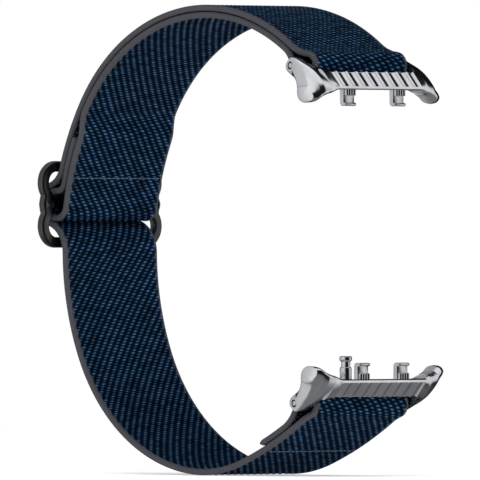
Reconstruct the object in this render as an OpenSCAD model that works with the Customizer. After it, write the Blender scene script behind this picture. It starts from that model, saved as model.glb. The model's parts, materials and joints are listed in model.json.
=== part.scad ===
// Woven fitness tracker band: one ribbon of webbing, a strap slider, and two
// metal end connectors that hook into the tracker.
// X points out of the display side, Y runs across the band, Z is up.

/* [Webbing] */
// Width of the woven strap
strap_w = 21; // [19:0.5:21]
// Thickness of one layer of webbing
strap_t = 1.05; // [0.9:0.05:1.05]
// Space between two layers that lie together
layer_gap = 0.08; // [0.06:0.01:0.1]

/* [Loop] */
// Outer radius of the single layer at the back of the wrist
back_r = 43.1; // [42.9:0.1:43.3]
// Outer radius over the first part of the crown
crown_r1 = 31.5; // [31:0.1:32]
// Outer radius over the rest of the crown
crown_r2 = 34.3; // [34:0.1:34.6]
// Outer radius at the start of the base
base_r1 = 31.4; // [31:0.1:31.8]
// Outer radius under the wrist
base_r2 = 25.6; // [25.2:0.1:26]
// Outer radius on the way up to the lower connector
base_r3 = 71; // [70:0.5:72]

/* [Slider] */
// Length of the slider across the strap
slider_len = 27.2; // [26:0.2:28]
// Thickness of the slider plate
slider_t = 1.4; // [1.2:0.1:1.4]
// Height of each of the two slider rings
ring_h = 7; // [6.9:0.1:7.1]
// Width of the slider's rails
rail_w = 1.7; // [1.5:0.1:1.7]
// Radius of the round centre bar
bar_r = 0.85; // [0.7:0.05:0.9]
// Height of the centre bar above the centre of the loop, in degrees
bar_angle = 9.3; // [9:0.1:9.6]

/* [Connectors] */
// Width over the two ears
ear_span = 24.6; // [24.4:0.1:25]
// Thickness of an ear
ear_t = 1.4; // [1.2:0.1:1.5]
// Width over the two horns
horn_span = 29.4; // [28:0.2:30]
// Width of the ribbed face
rib_span = 18.1; // [17:0.1:19]
// Number of ribs on a connector
rib_count = 8; // [6:1:9]
// Distance of each hook from the middle of the band
hook_y = 5.6; // [5:0.1:6]

/* [Spring bars] */
// Radius of the spring bar barrel
barrel_r = 0.9; // [0.8:0.05:0.9]
// Radius of the spring bar tips
tip_r = 0.45; // [0.4:0.05:0.5]

/* [Latch] */
// Radius of the latch pin
latch_r = 0.95; // [0.85:0.05:1]
// Distance of the latch pin from the middle of the band
latch_y = 6.6; // [6.4:0.1:6.8]

/* [Hidden] */
$fn = 48;
step_deg = 8;      // longest step along a curve, in degrees
sag = 0.012;       // most that a step may stray from its curve
eps = 0.01;
slack = 0.05;      // radial clearance of a running fit

// Angles, in degrees, at which the loop changes its radius
crown_start = 30.2;
crown_turn = 27.5;
base_start = 23;
base_turn1 = 62;
base_turn2 = 25;
static_crown = 130;   // bearing on the first crown arc where the still part begins
static_base = 35;     // bearing below the loop's centre where the still part begins

// Mid-line radii of the layers about the loop's centre
mid_back = back_r - strap_t / 2;
mid_c = mid_back + 0.4;
layer_step = strap_t + layer_gap;
mid_b = mid_c + layer_step;
mid_a = mid_c + 2 * layer_step;
outer_a = mid_a + strap_t / 2;

// Centre of the loop, placed so that the lowest point of the strap is at Z = 0
loop = [14.45, base_r2 + (base_r1 - base_r2) * sin(base_start + base_turn1) + (back_r - base_r1) * sin(base_start)];

// Centres of the crown and base arcs, each on the last radius of the arc before it
crown1 = loop + (outer_a - crown_r1) * bearing(180 - crown_start);
crown2 = crown1 + (crown_r1 - crown_r2) * bearing(180 - crown_start - crown_turn);
base1 = loop + (back_r - base_r1) * bearing(180 + base_start);
base2 = base1 + (base_r1 - base_r2) * bearing(180 + base_start + base_turn1);
base3 = base2 + (base_r2 - base_r3) * bearing(180 + base_start + base_turn1 + base_turn2);

// Slider: the sewn end wraps the centre bar, and the strap passes over the wrap
wrap_r = 2.2;
pass_r = wrap_r + strap_t + 0.1;
bar = loop + (mid_c + wrap_r) * bearing(180 - bar_angle);
pass_top_r = 4;
pass_low_r = 5;
wrap_top_r = 1.6;
sewn_end = 24.2;      // bearing of the sewn end's cut edge above the loop's centre
seam_at = 15.7;       // bearing of the row of stitches
pass_top = meet(loop, mid_a + pass_top_r, bar, pass_r + pass_top_r, -1);
pass_low = meet(loop, mid_back + pass_low_r, bar, pass_r + pass_low_r, 1);
wrap_top = meet(loop, mid_b + wrap_top_r, bar, wrap_r + wrap_top_r, -1);

// Folds round the spring bars
fold_r = 2.025;
upper_pin = loop + [10.9, 29.2];
lower_pin = loop + [11.76, -24.3];
upper_fold_out = upper_pin + [1.1, 0.05];
upper_fold_in = upper_pin + [-0.25, -0.15];
lower_fold_out = lower_pin + [0.5, -0.2];
lower_fold_in = lower_pin + [-0.25, 0.1];
hollow_r = 8;
leave_r = 4.5;
tail_leave_r = 6;
upper_hollow = meet(crown2, crown_r2 - strap_t / 2 + hollow_r, upper_fold_out, fold_r + hollow_r, 1);
upper_leave = meet(crown2, crown_r2 - strap_t / 2 - layer_step - leave_r, upper_fold_in, fold_r + leave_r, 1);
lower_hollow = meet(base3, base_r3 - strap_t / 2 + hollow_r, lower_fold_out, fold_r + hollow_r, -1);
lower_leave = meet(base3, base_r3 - strap_t / 2 - layer_step - tail_leave_r, lower_fold_in,
    fold_r + tail_leave_r, -1);
tail_end = 294.5;     // bearing on the last base arc of the tail's cut edge
tail_seam = 294.9;    // bearing of the tail's row of stitches

// Connector, measured from its pin: x outward, z towards the tracker
rim_z = 3.8;
ear_r = 1.3;
arm_bend = [3.0, 1.2];
horn_at = [6.1, 4.5];
horn_r = 1.25;
heel = [5.6, 2.9];
heel_r = 0.9;
crown_hollow_r = 15.2;
crown_hollow_z = 18;
rib_size = 0.7;
hook_x = 5.3;
hook_w = 2.4;
hook_tall = 2.6;
hook_block = [1.56, 0.95];
spine_t = 0.9;
foot = [1.3, 0.6];
tenon = [1.2, 1.6, 1];
lower_near_hook_y = 3.3;
pocket_r = 4.05;
bar_face = [[4.3, 2.0], [4.9, 1.1], [5.8, 0.9], [7.8, 2.75], [7.7, rim_z], [4.3, rim_z]];
ear_in = ear_span / 2 - ear_t;
barrel_len = 2 * ear_in - 0.6;
latch_x = 5.6;
link_x = 2.75;
link_z = 3.2;
link_w = 0.6;
link_t = 0.5;
slot_z = 2.1;
arm_out = ear_in + ear_t;
thread_r = 0.16;
stitch_pitch = 1.75;
leg_gap = 0.2;        // angle left between the sewn end and the inner leg
inner_steps = 18;
merge_start = 24.5;   // bearing above which the inner layer moves out to meet the outer one
lug_r = 1.85;
lug_inset = 2.2;
bar_len = slider_len - 1.4;

function bearing(a) = [cos(a), sin(a)];
function turn_of(c, p) = atan2(p.y - c.y, p.x - c.x);

// Point at distance ra from a and rb from b, on the left (1) or right (-1) of the line from a to b
function meet(a, ra, b, rb, side) =
    let (d = norm(b - a), u = (b - a) / d, along = (ra * ra - rb * rb + d * d) / (2 * d),
        across = sqrt(ra * ra - along * along))
    a + along * u + side * across * [-u.y, u.x];

// Points of an arc about c, from bearing a0 to bearing a1
function arc(c, r, a0, a1) =
    let (n = max(2, ceil(abs(a1 - a0) / min(step_deg, 2 * acos(1 - sag / r)))))
    [for (i = [0:n]) c + r * bearing(a0 + (a1 - a0) * i / n)];

// The same, turning anticlockwise (1) or clockwise (-1) between the bearings of two points
function swing(c, r, p0, p1, way) =
    let (a0 = turn_of(c, p0), a1 = turn_of(c, p1),
        sweep = way > 0 ? (a1 - a0 + 720) % 360 : -((a0 - a1 + 720) % 360))
    arc(c, r, a0, a0 + sweep);

function tidy(p) = [for (i = [0:len(p) - 1]) if (i == 0 || norm(p[i] - p[i - 1]) > 0.02) p[i]];
function unit(v) = v / norm(v);

// Direction of a path at point i: at an end, carried on from the last two steps
function heading(p, i) =
    let (n = len(p) - 1, a = unit(p[1] - p[0]), b = unit(p[2] - p[1]),
        y = unit(p[n] - p[n - 1]), z = unit(p[n - 1] - p[n - 2]))
    i == 0 ? unit(1.5 * a - 0.5 * b) : i == n ? unit(1.5 * y - 0.5 * z) : unit(p[i + 1] - p[i - 1]);
function beside(p, s) = [for (i = [0:len(p) - 1]) let (h = heading(p, i)) p[i] + s * [-h.y, h.x]];
function backwards(p) = [for (i = [len(p) - 1:-1:0]) p[i]];
function ribbon(p) = concat(beside(p, strap_t / 2), backwards(beside(p, -strap_t / 2)));

// Radius of the inner layer as it moves outward, past the sewn end, to join the outer layer
function ease(t) = let (k = min(max(t, 0), 1)) k * k * (3 - 2 * k);
function inner_r(a) = mid_c + layer_step * ease((a - merge_start) / (crown_start - merge_start));

crown_mid = crown_r1 - strap_t / 2;
crown_mid2 = crown_r2 - strap_t / 2;
crown_step = 180 - crown_start - crown_turn;
base_step1 = 180 + base_start + base_turn1;
base_step2 = base_step1 + base_turn2;

// Outer layer over the crown, the fold and the inner layer back to the start
crown_path = tidy(concat(
    arc(crown1, crown_mid, static_crown, crown_step),
    swing(crown2, crown_mid2, crown2 + bearing(crown_step), upper_hollow, -1),
    swing(upper_hollow, hollow_r, crown2, upper_fold_out, 1),
    swing(upper_fold_out, fold_r, upper_hollow, upper_fold_out + [0, -1], -1),
    swing(upper_fold_in, fold_r, upper_fold_in + [0, -1], upper_leave, -1),
    swing(upper_leave, leave_r, upper_fold_in, upper_leave + (upper_leave - crown2), 1),
    swing(crown2, crown_mid2 - layer_step, upper_leave, crown2 + bearing(crown_step), 1),
    arc(crown1, crown_mid - layer_step, crown_step, static_crown)));

outer_path = tidy(concat(
    swing(loop, mid_a, pass_top, loop + bearing(180 - crown_start), -1),
    arc(crown1, crown_mid, 180 - crown_start, static_crown)));

inner_path = arc(crown1, crown_mid - layer_step, 180 - crown_start - leg_gap, static_crown);

lower_path = tidy(concat(
    swing(loop, mid_back, pass_low, loop + bearing(180 + base_start), 1),
    arc(base1, base_r1 - strap_t / 2, 180 + base_start, 180 + static_base)));

base_path = tidy(concat(
    arc(base1, base_r1 - strap_t / 2, 180 + static_base, base_step1),
    arc(base2, base_r2 - strap_t / 2, base_step1, base_step2),
    swing(base3, base_r3 - strap_t / 2, base3 + bearing(base_step2), lower_hollow, 1),
    swing(lower_hollow, hollow_r, base3, lower_fold_out, -1),
    swing(lower_fold_out, fold_r, lower_hollow, lower_fold_out + [0, 1], 1),
    swing(lower_fold_in, fold_r, lower_fold_in + [0, 1], lower_leave, 1),
    swing(lower_leave, tail_leave_r, lower_fold_in, lower_leave + (lower_leave - base3), -1),
    arc(base3, base_r3 - strap_t / 2 - layer_step,
        turn_of(base3, lower_leave) + 360, tail_end)));

// Sewn end: down from its cut edge, round the centre bar and up as the inner layer
end_path = tidy(concat(
    swing(loop, mid_b, loop + bearing(180 - sewn_end), wrap_top, 1),
    swing(wrap_top, wrap_top_r, loop, bar, -1),
    swing(bar, wrap_r, wrap_top, loop, 1),
    [for (i = [0:inner_steps])
        let (a = bar_angle + (crown_start - bar_angle) * i / inner_steps) loop + inner_r(a) * bearing(180 - a)]));

pass_path = tidy(concat(
    swing(pass_top, pass_top_r, loop, bar, -1),
    swing(bar, pass_r, pass_top, pass_low, 1),
    swing(pass_low, pass_low_r, bar, loop, -1)));

// A ribbon of webbing along a path in the XZ plane
module webbing(path) {
    color("midnightblue")
        rotate([90, 0, 0])
            linear_extrude(height = strap_w, center = true) polygon(ribbon(path));
}

// A row of short stitches across the strap, centred at p and standing along bearing a
module stitches(p, a, depth) {
    count = floor((strap_w - 2) / stitch_pitch);
    color("slategray")
        for (i = [0:count - 1])
            translate([p.x, (i - (count - 1) / 2) * stitch_pitch, p.y])
                rotate([0, -a, 0])
                    cube([depth, 2 * thread_r, 2 * thread_r], center = true);
}

module strap_crown() webbing(crown_path);
module outer_leg() webbing(outer_path);
module inner_leg() webbing(inner_path);
module lower_leg() webbing(lower_path);
module strap_base() webbing(base_path);
module strap_end_loop() webbing(end_path);
module slider_pass() webbing(pass_path);

module end_stitching() {
    a = 180 - seam_at;
    stitches(loop + (mid_c + layer_step / 2) * bearing(a), a, 2 * strap_t + layer_gap + 2 * thread_r);
}

module tail_stitching() {
    stitches(base3 + (base_r3 - strap_t / 2 - layer_step / 2) * bearing(tail_seam), tail_seam,
        2 * strap_t + layer_gap + 2 * thread_r);
}

// A slot-shaped plate that lies in the YZ plane
module obround(len, tall, thick) {
    rotate([90, 0, 90])
        linear_extrude(height = thick, center = true)
            union() {
                square([len - tall, tall], center = true);
                for (s = [-1, 1]) translate([s * (len - tall) / 2, 0]) circle(d = tall);
            }
}

module slider_frame() {
    ring_rise = ring_h / 2 - 0.03;
    inner_len = slider_len - 2 * rail_w;
    color("dimgray")
        difference() {
            translate([bar.x - 0.3, 0, bar.y])
                difference() {
                    union() {
                        for (s = [-1, 1]) {
                            translate([0, 0, s * ring_rise]) obround(slider_len, ring_h, slider_t);
                            translate([0, s * (slider_len / 2 - lug_inset), 0])
                                rotate([0, 90, 0]) cylinder(h = slider_t, r = lug_r, center = true);
                        }
                    }
                    for (s = [-1, 1])
                        translate([0, 0, s * ring_rise])
                            obround(inner_len, ring_h - 2 * rail_w, 2 * slider_t);
                    cube([2 * slider_t, inner_len - 1.8, 2 * ring_h - 4 * rail_w], center = true);
                }
            centre_bar_shape();
        }
}

// Round bar with a small flange near each end
module centre_bar_shape() {
    translate([bar.x, 0, bar.y])
        rotate([90, 0, 0]) {
            cylinder(h = bar_len, r = bar_r, center = true);
            for (s = [-1, 1])
                translate([0, 0, s * (bar_len / 2 - 0.25)]) cylinder(h = 0.5, r = bar_r + 0.3, center = true);
        }
}

module slider_centre_bar() color("gray") centre_bar_shape();

// Places a connector's own frame on a pin: way is -1 for the upper one, which faces down
module at_pin(pin, way) {
    translate([pin.x, 0, pin.y]) mirror([0, 0, way < 0 ? 1 : 0]) children();
}

// Side arm from the ear to the horn tip, on the +Y side
module arm() {
    difference() {
        hull() {
            translate([0, ear_in, 0]) rotate([-90, 0, 0]) cylinder(h = ear_t, r = ear_r, $fn = 32);
            translate([arm_bend.x, ear_in, arm_bend.y])
                rotate([-90, 0, 0]) cylinder(h = ear_t + 0.4, r = ear_r, $fn = 32);
            translate([horn_at.x, horn_span / 2 - horn_r - 0.05, horn_at.y]) sphere(r = horn_r, $fn = 24);
            translate([heel.x, ear_in, heel.y]) rotate([-90, 0, 0]) cylinder(h = ear_t, r = heel_r, $fn = 32);
        }
        translate([0, 0, crown_hollow_z])
            rotate([0, 90, 0]) cylinder(h = 40, r = crown_hollow_r, center = true);
    }
}

// Corner that joins the ribbed bar to an arm, on the +Y side
module shoulder() {
    hull() {
        translate([6.3, rib_span / 2, 1.4]) cube([1.2, eps, rim_z - 1.4]);
        translate([5.2, rib_span / 2, 0.95]) cube([1.0, eps, rim_z - 0.95]);
        translate([4.4, ear_in, 1.2]) cube([2.4, ear_t, rim_z - 1.2]);
    }
}

module connector_body(hook_near_y, hook_far_y) {
    difference() {
        union() {
            for (s = [0, 1]) mirror([0, s, 0]) {
                arm();
                shoulder();
            }
            rotate([90, 0, 0])
                linear_extrude(height = rib_span + 2 * eps, center = true) polygon(bar_face);
        }
        rotate([90, 0, 0]) cylinder(h = ear_span + 10, r = tip_r + slack, center = true);
        rotate([90, 0, 0]) cylinder(h = 2 * ear_in, r = pocket_r, center = true);
        for (i = [0:rib_count - 1])
            translate([6.8, (i - (rib_count - 1) / 2) * rib_span / rib_count, 1.8])
                rotate([0, -45, 0]) rotate([45, 0, 0]) cube([6, rib_size, rib_size], center = true);
        for (y = [hook_near_y, hook_far_y]) hook_tenon(y);
    }
}

// The part of a hook that sits in the connector
module hook_tenon(y) {
    translate([hook_x + 0.2, y - tenon.y / 2, rim_z - tenon.z]) cube([tenon.x, tenon.y, tenon.z + eps]);
}

// One L-shaped hook: block on the rim, thin spine and a foot
module hook(y) {
    color("silver") {
        translate([hook_x + 0.2, y - tenon.y / 2, rim_z - tenon.z]) cube(tenon + [0, 0, 0.2]);
        translate([hook_x, y - hook_w / 2, rim_z]) {
            cube([hook_block.x, hook_w, hook_block.y]);
            cube([spine_t, hook_w, hook_tall]);
            translate([0, 0, hook_tall - foot.y]) cube([foot.x, hook_w, foot.y]);
        }
    }
}

module upper_connector()
    color("lightgray") at_pin(upper_pin, -1) connector_body(-hook_y, hook_y);
module upper_hook_near() at_pin(upper_pin, -1) hook(-hook_y);
module upper_hook_far() at_pin(upper_pin, -1) hook(hook_y);

// Hollow barrel that the strap folds round
module barrel() {
    color("silver")
        rotate([90, 0, 0])
            difference() {
                cylinder(h = barrel_len, r = barrel_r, center = true);
                cylinder(h = barrel_len - 0.8, r = barrel_r - 0.25, center = true);
                cylinder(h = barrel_len + 1, r = tip_r + slack, center = true);
            }
}

// Shouldered tip on the +Y side: its nose sits in the ear's bore
module tip() {
    shoulder_y = barrel_len / 2 - 0.5;
    color("silver")
        rotate([-90, 0, 0]) {
            translate([0, 0, shoulder_y - 1.6]) cylinder(h = ear_span / 2 - 0.25 - shoulder_y + 1.6, r = tip_r);
            translate([0, 0, shoulder_y - 1.6]) cylinder(h = 1.5, r = barrel_r - 0.25 - slack);
        }
}

// Coil inside the barrel, as the sleeve that it fills
module bar_spring() {
    spring_len = barrel_len - 4.3;
    color("gray")
        rotate([90, 0, 0])
            difference() {
                cylinder(h = spring_len, r = 0.55, center = true);
                cylinder(h = spring_len + 1, r = 0.35, center = true);
            }
}

module upper_bar_barrel() at_pin(upper_pin, -1) barrel();
module upper_bar_spring() at_pin(upper_pin, -1) bar_spring();
module upper_bar_tip_near() at_pin(upper_pin, -1) mirror([0, 1, 0]) tip();
module upper_bar_tip_far() at_pin(upper_pin, -1) tip();

module lower_connector()
    color("lightgray") at_pin(lower_pin, 1)
        difference() {
            union() {
                connector_body(-lower_near_hook_y, hook_y);
                translate([latch_x, -latch_y, 1.05]) cylinder(h = rim_z - 1.05, r = latch_r + 0.5);
            }
            translate([latch_x, -latch_y, 1.35]) cylinder(h = rim_z, r = latch_r + slack);
            translate([link_x - 0.15, -latch_y - 0.45, slot_z]) cube([latch_x - link_x + 0.15, 0.9, rim_z]);
            translate([link_x - 0.35, -arm_out - 1.6, slot_z]) cube([1.5, arm_out + 2.05 - latch_y, 2.6]);
        }
module lower_hook_near() at_pin(lower_pin, 1) hook(-lower_near_hook_y);
module lower_hook_far() at_pin(lower_pin, 1) hook(hook_y);
module lower_bar_barrel() at_pin(lower_pin, 1) barrel();
module lower_bar_spring() at_pin(lower_pin, 1) bar_spring();
module lower_bar_tip_near() at_pin(lower_pin, 1) mirror([0, 1, 0]) tip();
module lower_bar_tip_far() at_pin(lower_pin, 1) tip();

// Latch pin: body, narrow neck and round head
module latch_pin() {
    color("gray")
        at_pin(lower_pin, 1) translate([latch_x, -latch_y, 0]) {
            translate([0, 0, 2.4]) cylinder(h = 3.35, r = latch_r);
            translate([0, 0, 5.7]) cylinder(h = 1.05, r = latch_r - 0.2);
            translate([0, 0, 6.7]) cylinder(h = 0.8, r = latch_r + 0.05);
        }
}

// Thumb slide on the near arm, with the link that carries the latch pin
module release_slider() {
    color("silver")
        at_pin(lower_pin, 1) {
            translate([link_x, -latch_y - link_w / 2, link_z]) cube([latch_x - link_x - latch_r * 0.7, link_w, link_t]);
            translate([link_x, -arm_out - 0.6, link_z]) cube([0.8, arm_out + 0.6 - latch_y + link_w / 2, link_t]);
            translate([link_x - 0.2, -arm_out - 1.1, link_z - 0.05]) cube([1.2, 1, 0.65]);
        }
}

module latch_spring() {
    color("gray")
        at_pin(lower_pin, 1) translate([latch_x, -latch_y, 1.4])
            difference() {
                cylinder(h = 0.95, r = latch_r - 0.15);
                translate([0, 0, -1]) cylinder(h = 3, r = latch_r - 0.4);
            }
}

strap_crown();
outer_leg();
inner_leg();
lower_leg();
strap_base();
tail_stitching();
strap_end_loop();
slider_pass();
end_stitching();
slider_frame();
slider_centre_bar();
upper_connector();
upper_hook_near();
upper_hook_far();
upper_bar_barrel();
upper_bar_spring();
upper_bar_tip_near();
upper_bar_tip_far();
lower_connector();
lower_hook_near();
lower_hook_far();
lower_bar_barrel();
lower_bar_spring();
lower_bar_tip_near();
lower_bar_tip_far();
latch_pin();
release_slider();
latch_spring();
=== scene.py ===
"""Woven fitness tracker band: its webbing, threads, slider and connectors, dressed around the fixed frame."""

import json
import logging
import math
from dataclasses import dataclass, field
from enum import Enum

import bpy
import numpy as np
from mathutils import Matrix, Vector

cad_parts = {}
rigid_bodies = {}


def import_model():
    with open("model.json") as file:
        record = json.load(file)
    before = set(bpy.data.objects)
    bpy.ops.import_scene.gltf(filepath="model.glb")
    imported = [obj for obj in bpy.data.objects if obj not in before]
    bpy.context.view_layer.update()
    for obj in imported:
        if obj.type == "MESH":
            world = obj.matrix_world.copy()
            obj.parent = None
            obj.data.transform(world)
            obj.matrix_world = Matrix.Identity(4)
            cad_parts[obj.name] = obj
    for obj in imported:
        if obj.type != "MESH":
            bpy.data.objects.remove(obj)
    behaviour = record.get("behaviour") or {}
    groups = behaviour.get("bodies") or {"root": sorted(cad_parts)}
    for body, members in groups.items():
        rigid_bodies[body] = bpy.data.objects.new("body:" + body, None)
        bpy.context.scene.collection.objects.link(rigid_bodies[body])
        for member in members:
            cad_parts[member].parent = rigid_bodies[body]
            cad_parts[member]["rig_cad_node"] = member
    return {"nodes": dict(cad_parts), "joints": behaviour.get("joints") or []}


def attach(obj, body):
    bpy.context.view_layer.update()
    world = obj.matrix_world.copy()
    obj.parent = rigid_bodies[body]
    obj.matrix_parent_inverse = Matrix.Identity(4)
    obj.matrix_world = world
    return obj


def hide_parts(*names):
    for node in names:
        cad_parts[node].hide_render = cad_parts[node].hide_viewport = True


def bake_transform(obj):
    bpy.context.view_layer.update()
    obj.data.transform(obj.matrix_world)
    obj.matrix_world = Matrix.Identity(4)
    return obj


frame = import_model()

LOG = logging.getLogger("band")
MM = 0.001
PATH_STEP = 0.05      # mm between the points of a curve before it is sampled again
ROUND_STEPS = 32      # steps round a small turned part or bore
TURNED_EDGE = 50.0    # degrees between faces from which a turned part's edge stays sharp
AXIS_R = 0.02         # radius in mm of the small flat that closes a turned part on its axis
BEVEL_ANGLE = 35.0
BEVEL_SEGMENTS = 2
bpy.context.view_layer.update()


class Body(Enum):
    """The moving bodies that pieces ride on."""

    STRAP = "strap"
    SLIDER = "slider"
    UPPER_END = "upper_end"
    LOWER_END = "lower_end"
    LATCH = "latch"
    UPPER_TIP_NEAR = "upper_tip_near"
    UPPER_TIP_FAR = "upper_tip_far"
    LOWER_TIP_NEAR = "lower_tip_near"
    LOWER_TIP_FAR = "lower_tip_far"


class Slot(Enum):
    """The record's material slots."""

    WEBBING = "webbing"
    THREAD = "thread"
    GUNMETAL = "gunmetal"
    CASTING = "polished_casting"
    STEEL = "polished_steel"
    SPRING = "spring_wire"


# ---------------------------------------------------------------- plane geometry, in millimetres (X, Z)

def bearing(angle: float) -> np.ndarray:
    """Returns the unit vector at an angle in degrees."""
    return np.array([math.cos(math.radians(angle)), math.sin(math.radians(angle))])


def turn_of(centre: np.ndarray, point: np.ndarray) -> float:
    """Returns the bearing, in degrees, of a point seen from a centre."""
    return math.degrees(math.atan2(point[1] - centre[1], point[0] - centre[0]))


def meet(a: np.ndarray, ra: float, b: np.ndarray, rb: float, side: int) -> np.ndarray:
    """Finds where two circles cross.

    Args:
        a: centre of the first circle.
        ra: its radius.
        b: centre of the second circle.
        rb: its radius.
        side: 1 for the crossing on the left of the line from a to b, -1 for the right.

    Returns:
        The crossing point.
    """
    d = float(np.linalg.norm(b - a))
    u = (b - a) / d
    along = (ra * ra - rb * rb + d * d) / (2 * d)
    across = math.sqrt(ra * ra - along * along)
    return a + along * u + side * across * np.array([-u[1], u[0]])


def arc(centre: np.ndarray, r: float, a0: float, a1: float) -> np.ndarray:
    """Draws an arc about a centre.

    Args:
        centre: the arc's centre.
        r: its radius.
        a0: the bearing that it starts from.
        a1: the bearing that it ends at.

    Returns:
        Its points, in order.
    """
    steps = max(2, math.ceil(abs(math.radians(a1 - a0)) * r / PATH_STEP))
    t = np.radians(np.linspace(a0, a1, steps + 1))
    return centre + r * np.column_stack([np.cos(t), np.sin(t)])


def swing(centre: np.ndarray, r: float, p0: np.ndarray, p1: np.ndarray, way: int) -> np.ndarray:
    """Draws an arc from the bearing of one point to the bearing of another.

    Args:
        centre: the arc's centre.
        r: its radius.
        p0: a point at the bearing where it starts.
        p1: a point at the bearing where it ends.
        way: 1 to go anticlockwise, -1 to go clockwise.

    Returns:
        Its points, in order.
    """
    a0, a1 = turn_of(centre, p0), turn_of(centre, p1)
    sweep = (a1 - a0) % 360 if way > 0 else -((a0 - a1) % 360)
    return arc(centre, r, a0, a0 + sweep)


def smooth(t: np.ndarray) -> np.ndarray:
    """Returns a smooth step from 0 to 1 as t goes from 0 to 1."""
    k = np.clip(t, 0.0, 1.0)
    return k * k * (3 - 2 * k)


def spline(before: np.ndarray, start: np.ndarray, end: np.ndarray, beyond: np.ndarray,
           t: float) -> np.ndarray:
    """Follows a smooth curve that passes through four points, between the middle two.

    Args:
        before: the point before the start, or an array of them.
        start: where t is 0.
        end: where t is 1.
        beyond: the point after the end.
        t: how far along, from 0 to 1.

    Returns:
        The point on the curve.
    """
    return 0.5 * (2 * start + (end - before) * t + (2 * before - 5 * start + 4 * end - beyond) * t ** 2
                  + (3 * start - before - 3 * end + beyond) * t ** 3)


def circle(r: float, steps: int = ROUND_STEPS) -> np.ndarray:
    """Returns the points of a circle about the origin."""
    t = np.linspace(0, 2 * math.pi, steps, endpoint=False)
    return r * np.column_stack([np.cos(t), np.sin(t)])


def place_across(outline: np.ndarray, y: float) -> np.ndarray:
    """Returns an outline of (x, z) points as points in space, at a place across the band."""
    return np.column_stack([outline[:, 0], np.full(len(outline), y), outline[:, 1]])


def place_level(outline: np.ndarray, height: float) -> np.ndarray:
    """Returns an outline of (x, y) points as points in space, at a height."""
    return np.column_stack([outline, np.full(len(outline), height)])


def joint_point(name: str) -> np.ndarray:
    """Returns a joint's place in the XZ plane, in millimetres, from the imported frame."""
    place = next(j["pos_m"] for j in frame["joints"] if j["name"] == name)
    return np.array([place[0], place[2]]) / MM


# ---------------------------------------------------------------- meshes

def new_object(name: str, mesh: bpy.types.Mesh) -> bpy.types.Object:
    """Links a mesh to the scene.

    Args:
        name: the new object's name.
        mesh: its mesh.

    Returns:
        The object.
    """
    obj = bpy.data.objects.new(name, mesh)
    bpy.context.scene.collection.objects.link(obj)
    return obj


def tube_grid(name: str, rings: np.ndarray, capped: bool = True) -> bpy.types.Mesh:
    """Joins closed rings of points into one surface.

    Args:
        name: the mesh's name.
        rings: an array of rings, points and coordinates, in millimetres.
        capped: whether the two end rings are closed with a face.

    Returns:
        The mesh in metres, with its faces turned outward.
    """
    count, size = rings.shape[:2]
    i = np.arange(count - 1)[:, None] * size
    j = np.arange(size)[None, :]
    k = (j + 1) % size
    quads = np.stack([i + j, i + k, i + size + k, i + size + j], axis=-1).reshape(-1, 4)
    points = rings.reshape(-1, 3) * MM
    a, b, c, d = (points[quads[:, n]] - points.mean(axis=0) for n in range(4))
    volume = np.einsum("ij,ij->", a, np.cross(b, c)) + np.einsum("ij,ij->", a, np.cross(c, d))
    caps = [list(range(size))[::-1], list(range((count - 1) * size, count * size))] if capped else []
    if volume < 0:
        quads = quads[:, ::-1]
        caps = [cap[::-1] for cap in caps]
    mesh = bpy.data.meshes.new(name)
    mesh.from_pydata(points.tolist(), [], quads.tolist() + caps)
    flags = np.ones(len(mesh.polygons), bool)
    flags[len(quads):] = False
    mesh.polygons.foreach_set("use_smooth", flags)
    mesh.update()
    return mesh


def join_meshes(name: str, meshes: list[bpy.types.Mesh]) -> bpy.types.Mesh:
    """Joins several meshes into one, and removes them.

    Args:
        name: the new mesh's name.
        meshes: the meshes to join.

    Returns:
        The joined mesh.
    """
    points, faces, flags = [], [], []
    for mesh in meshes:
        start = len(points)
        points += [tuple(v.co) for v in mesh.vertices]
        faces += [[start + v for v in p.vertices] for p in mesh.polygons]
        flags += [p.use_smooth for p in mesh.polygons]
        bpy.data.meshes.remove(mesh)
    joined = bpy.data.meshes.new(name)
    joined.from_pydata(points, [], faces)
    joined.polygons.foreach_set("use_smooth", flags)
    joined.update()
    return joined


def sweep_tube(name: str, route: np.ndarray, radius: float, sides: int = 8) -> bpy.types.Mesh:
    """Sweeps a round section along a route that lies in one plane and bows to one side.

    Args:
        name: the mesh's name.
        route: points in millimetres.
        radius: the tube's radius in millimetres.
        sides: the number of sides of its section.

    Returns:
        A closed mesh.
    """
    heading = np.gradient(route, axis=0)
    heading /= np.linalg.norm(heading, axis=1)[:, None]
    bow = route[len(route) // 2] - (route[0] + route[-1]) / 2
    guide = np.cross(route[-1] - route[0], bow)
    guide = guide / np.linalg.norm(guide)
    across = np.cross(heading, guide)
    across /= np.linalg.norm(across, axis=1)[:, None]
    section = circle(radius, sides)
    rings = (route[:, None] + section[None, :, :1] * across[:, None]
             + section[None, :, 1:] * np.broadcast_to(guide, route.shape)[:, None])
    return tube_grid(name, rings)


def lathe(name: str, outline: list[tuple[float, float]], foot: np.ndarray, steps: int = 48) -> bpy.types.Mesh:
    """Turns an outline of (radius, height) about a vertical line.

    Args:
        name: the mesh's name.
        outline: radius and height in millimetres, from the bottom up.
        foot: the point that heights are measured from.
        steps: the number of steps round.

    Returns:
        A closed mesh.
    """
    return tube_grid(name, np.array([foot + place_level(circle(r, steps), height) for r, height in outline]))


def bevel(obj: bpy.types.Object, width: float) -> None:
    """Rounds an object's sharp edges.

    Args:
        obj: the object.
        width: how far the rounding reaches from the edge, in millimetres.
    """
    modifier = obj.modifiers.new("rounded_edges", "BEVEL")
    modifier.width = width * MM
    modifier.segments = BEVEL_SEGMENTS
    modifier.limit_method = "ANGLE"
    modifier.angle_limit = math.radians(BEVEL_ANGLE)


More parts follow.
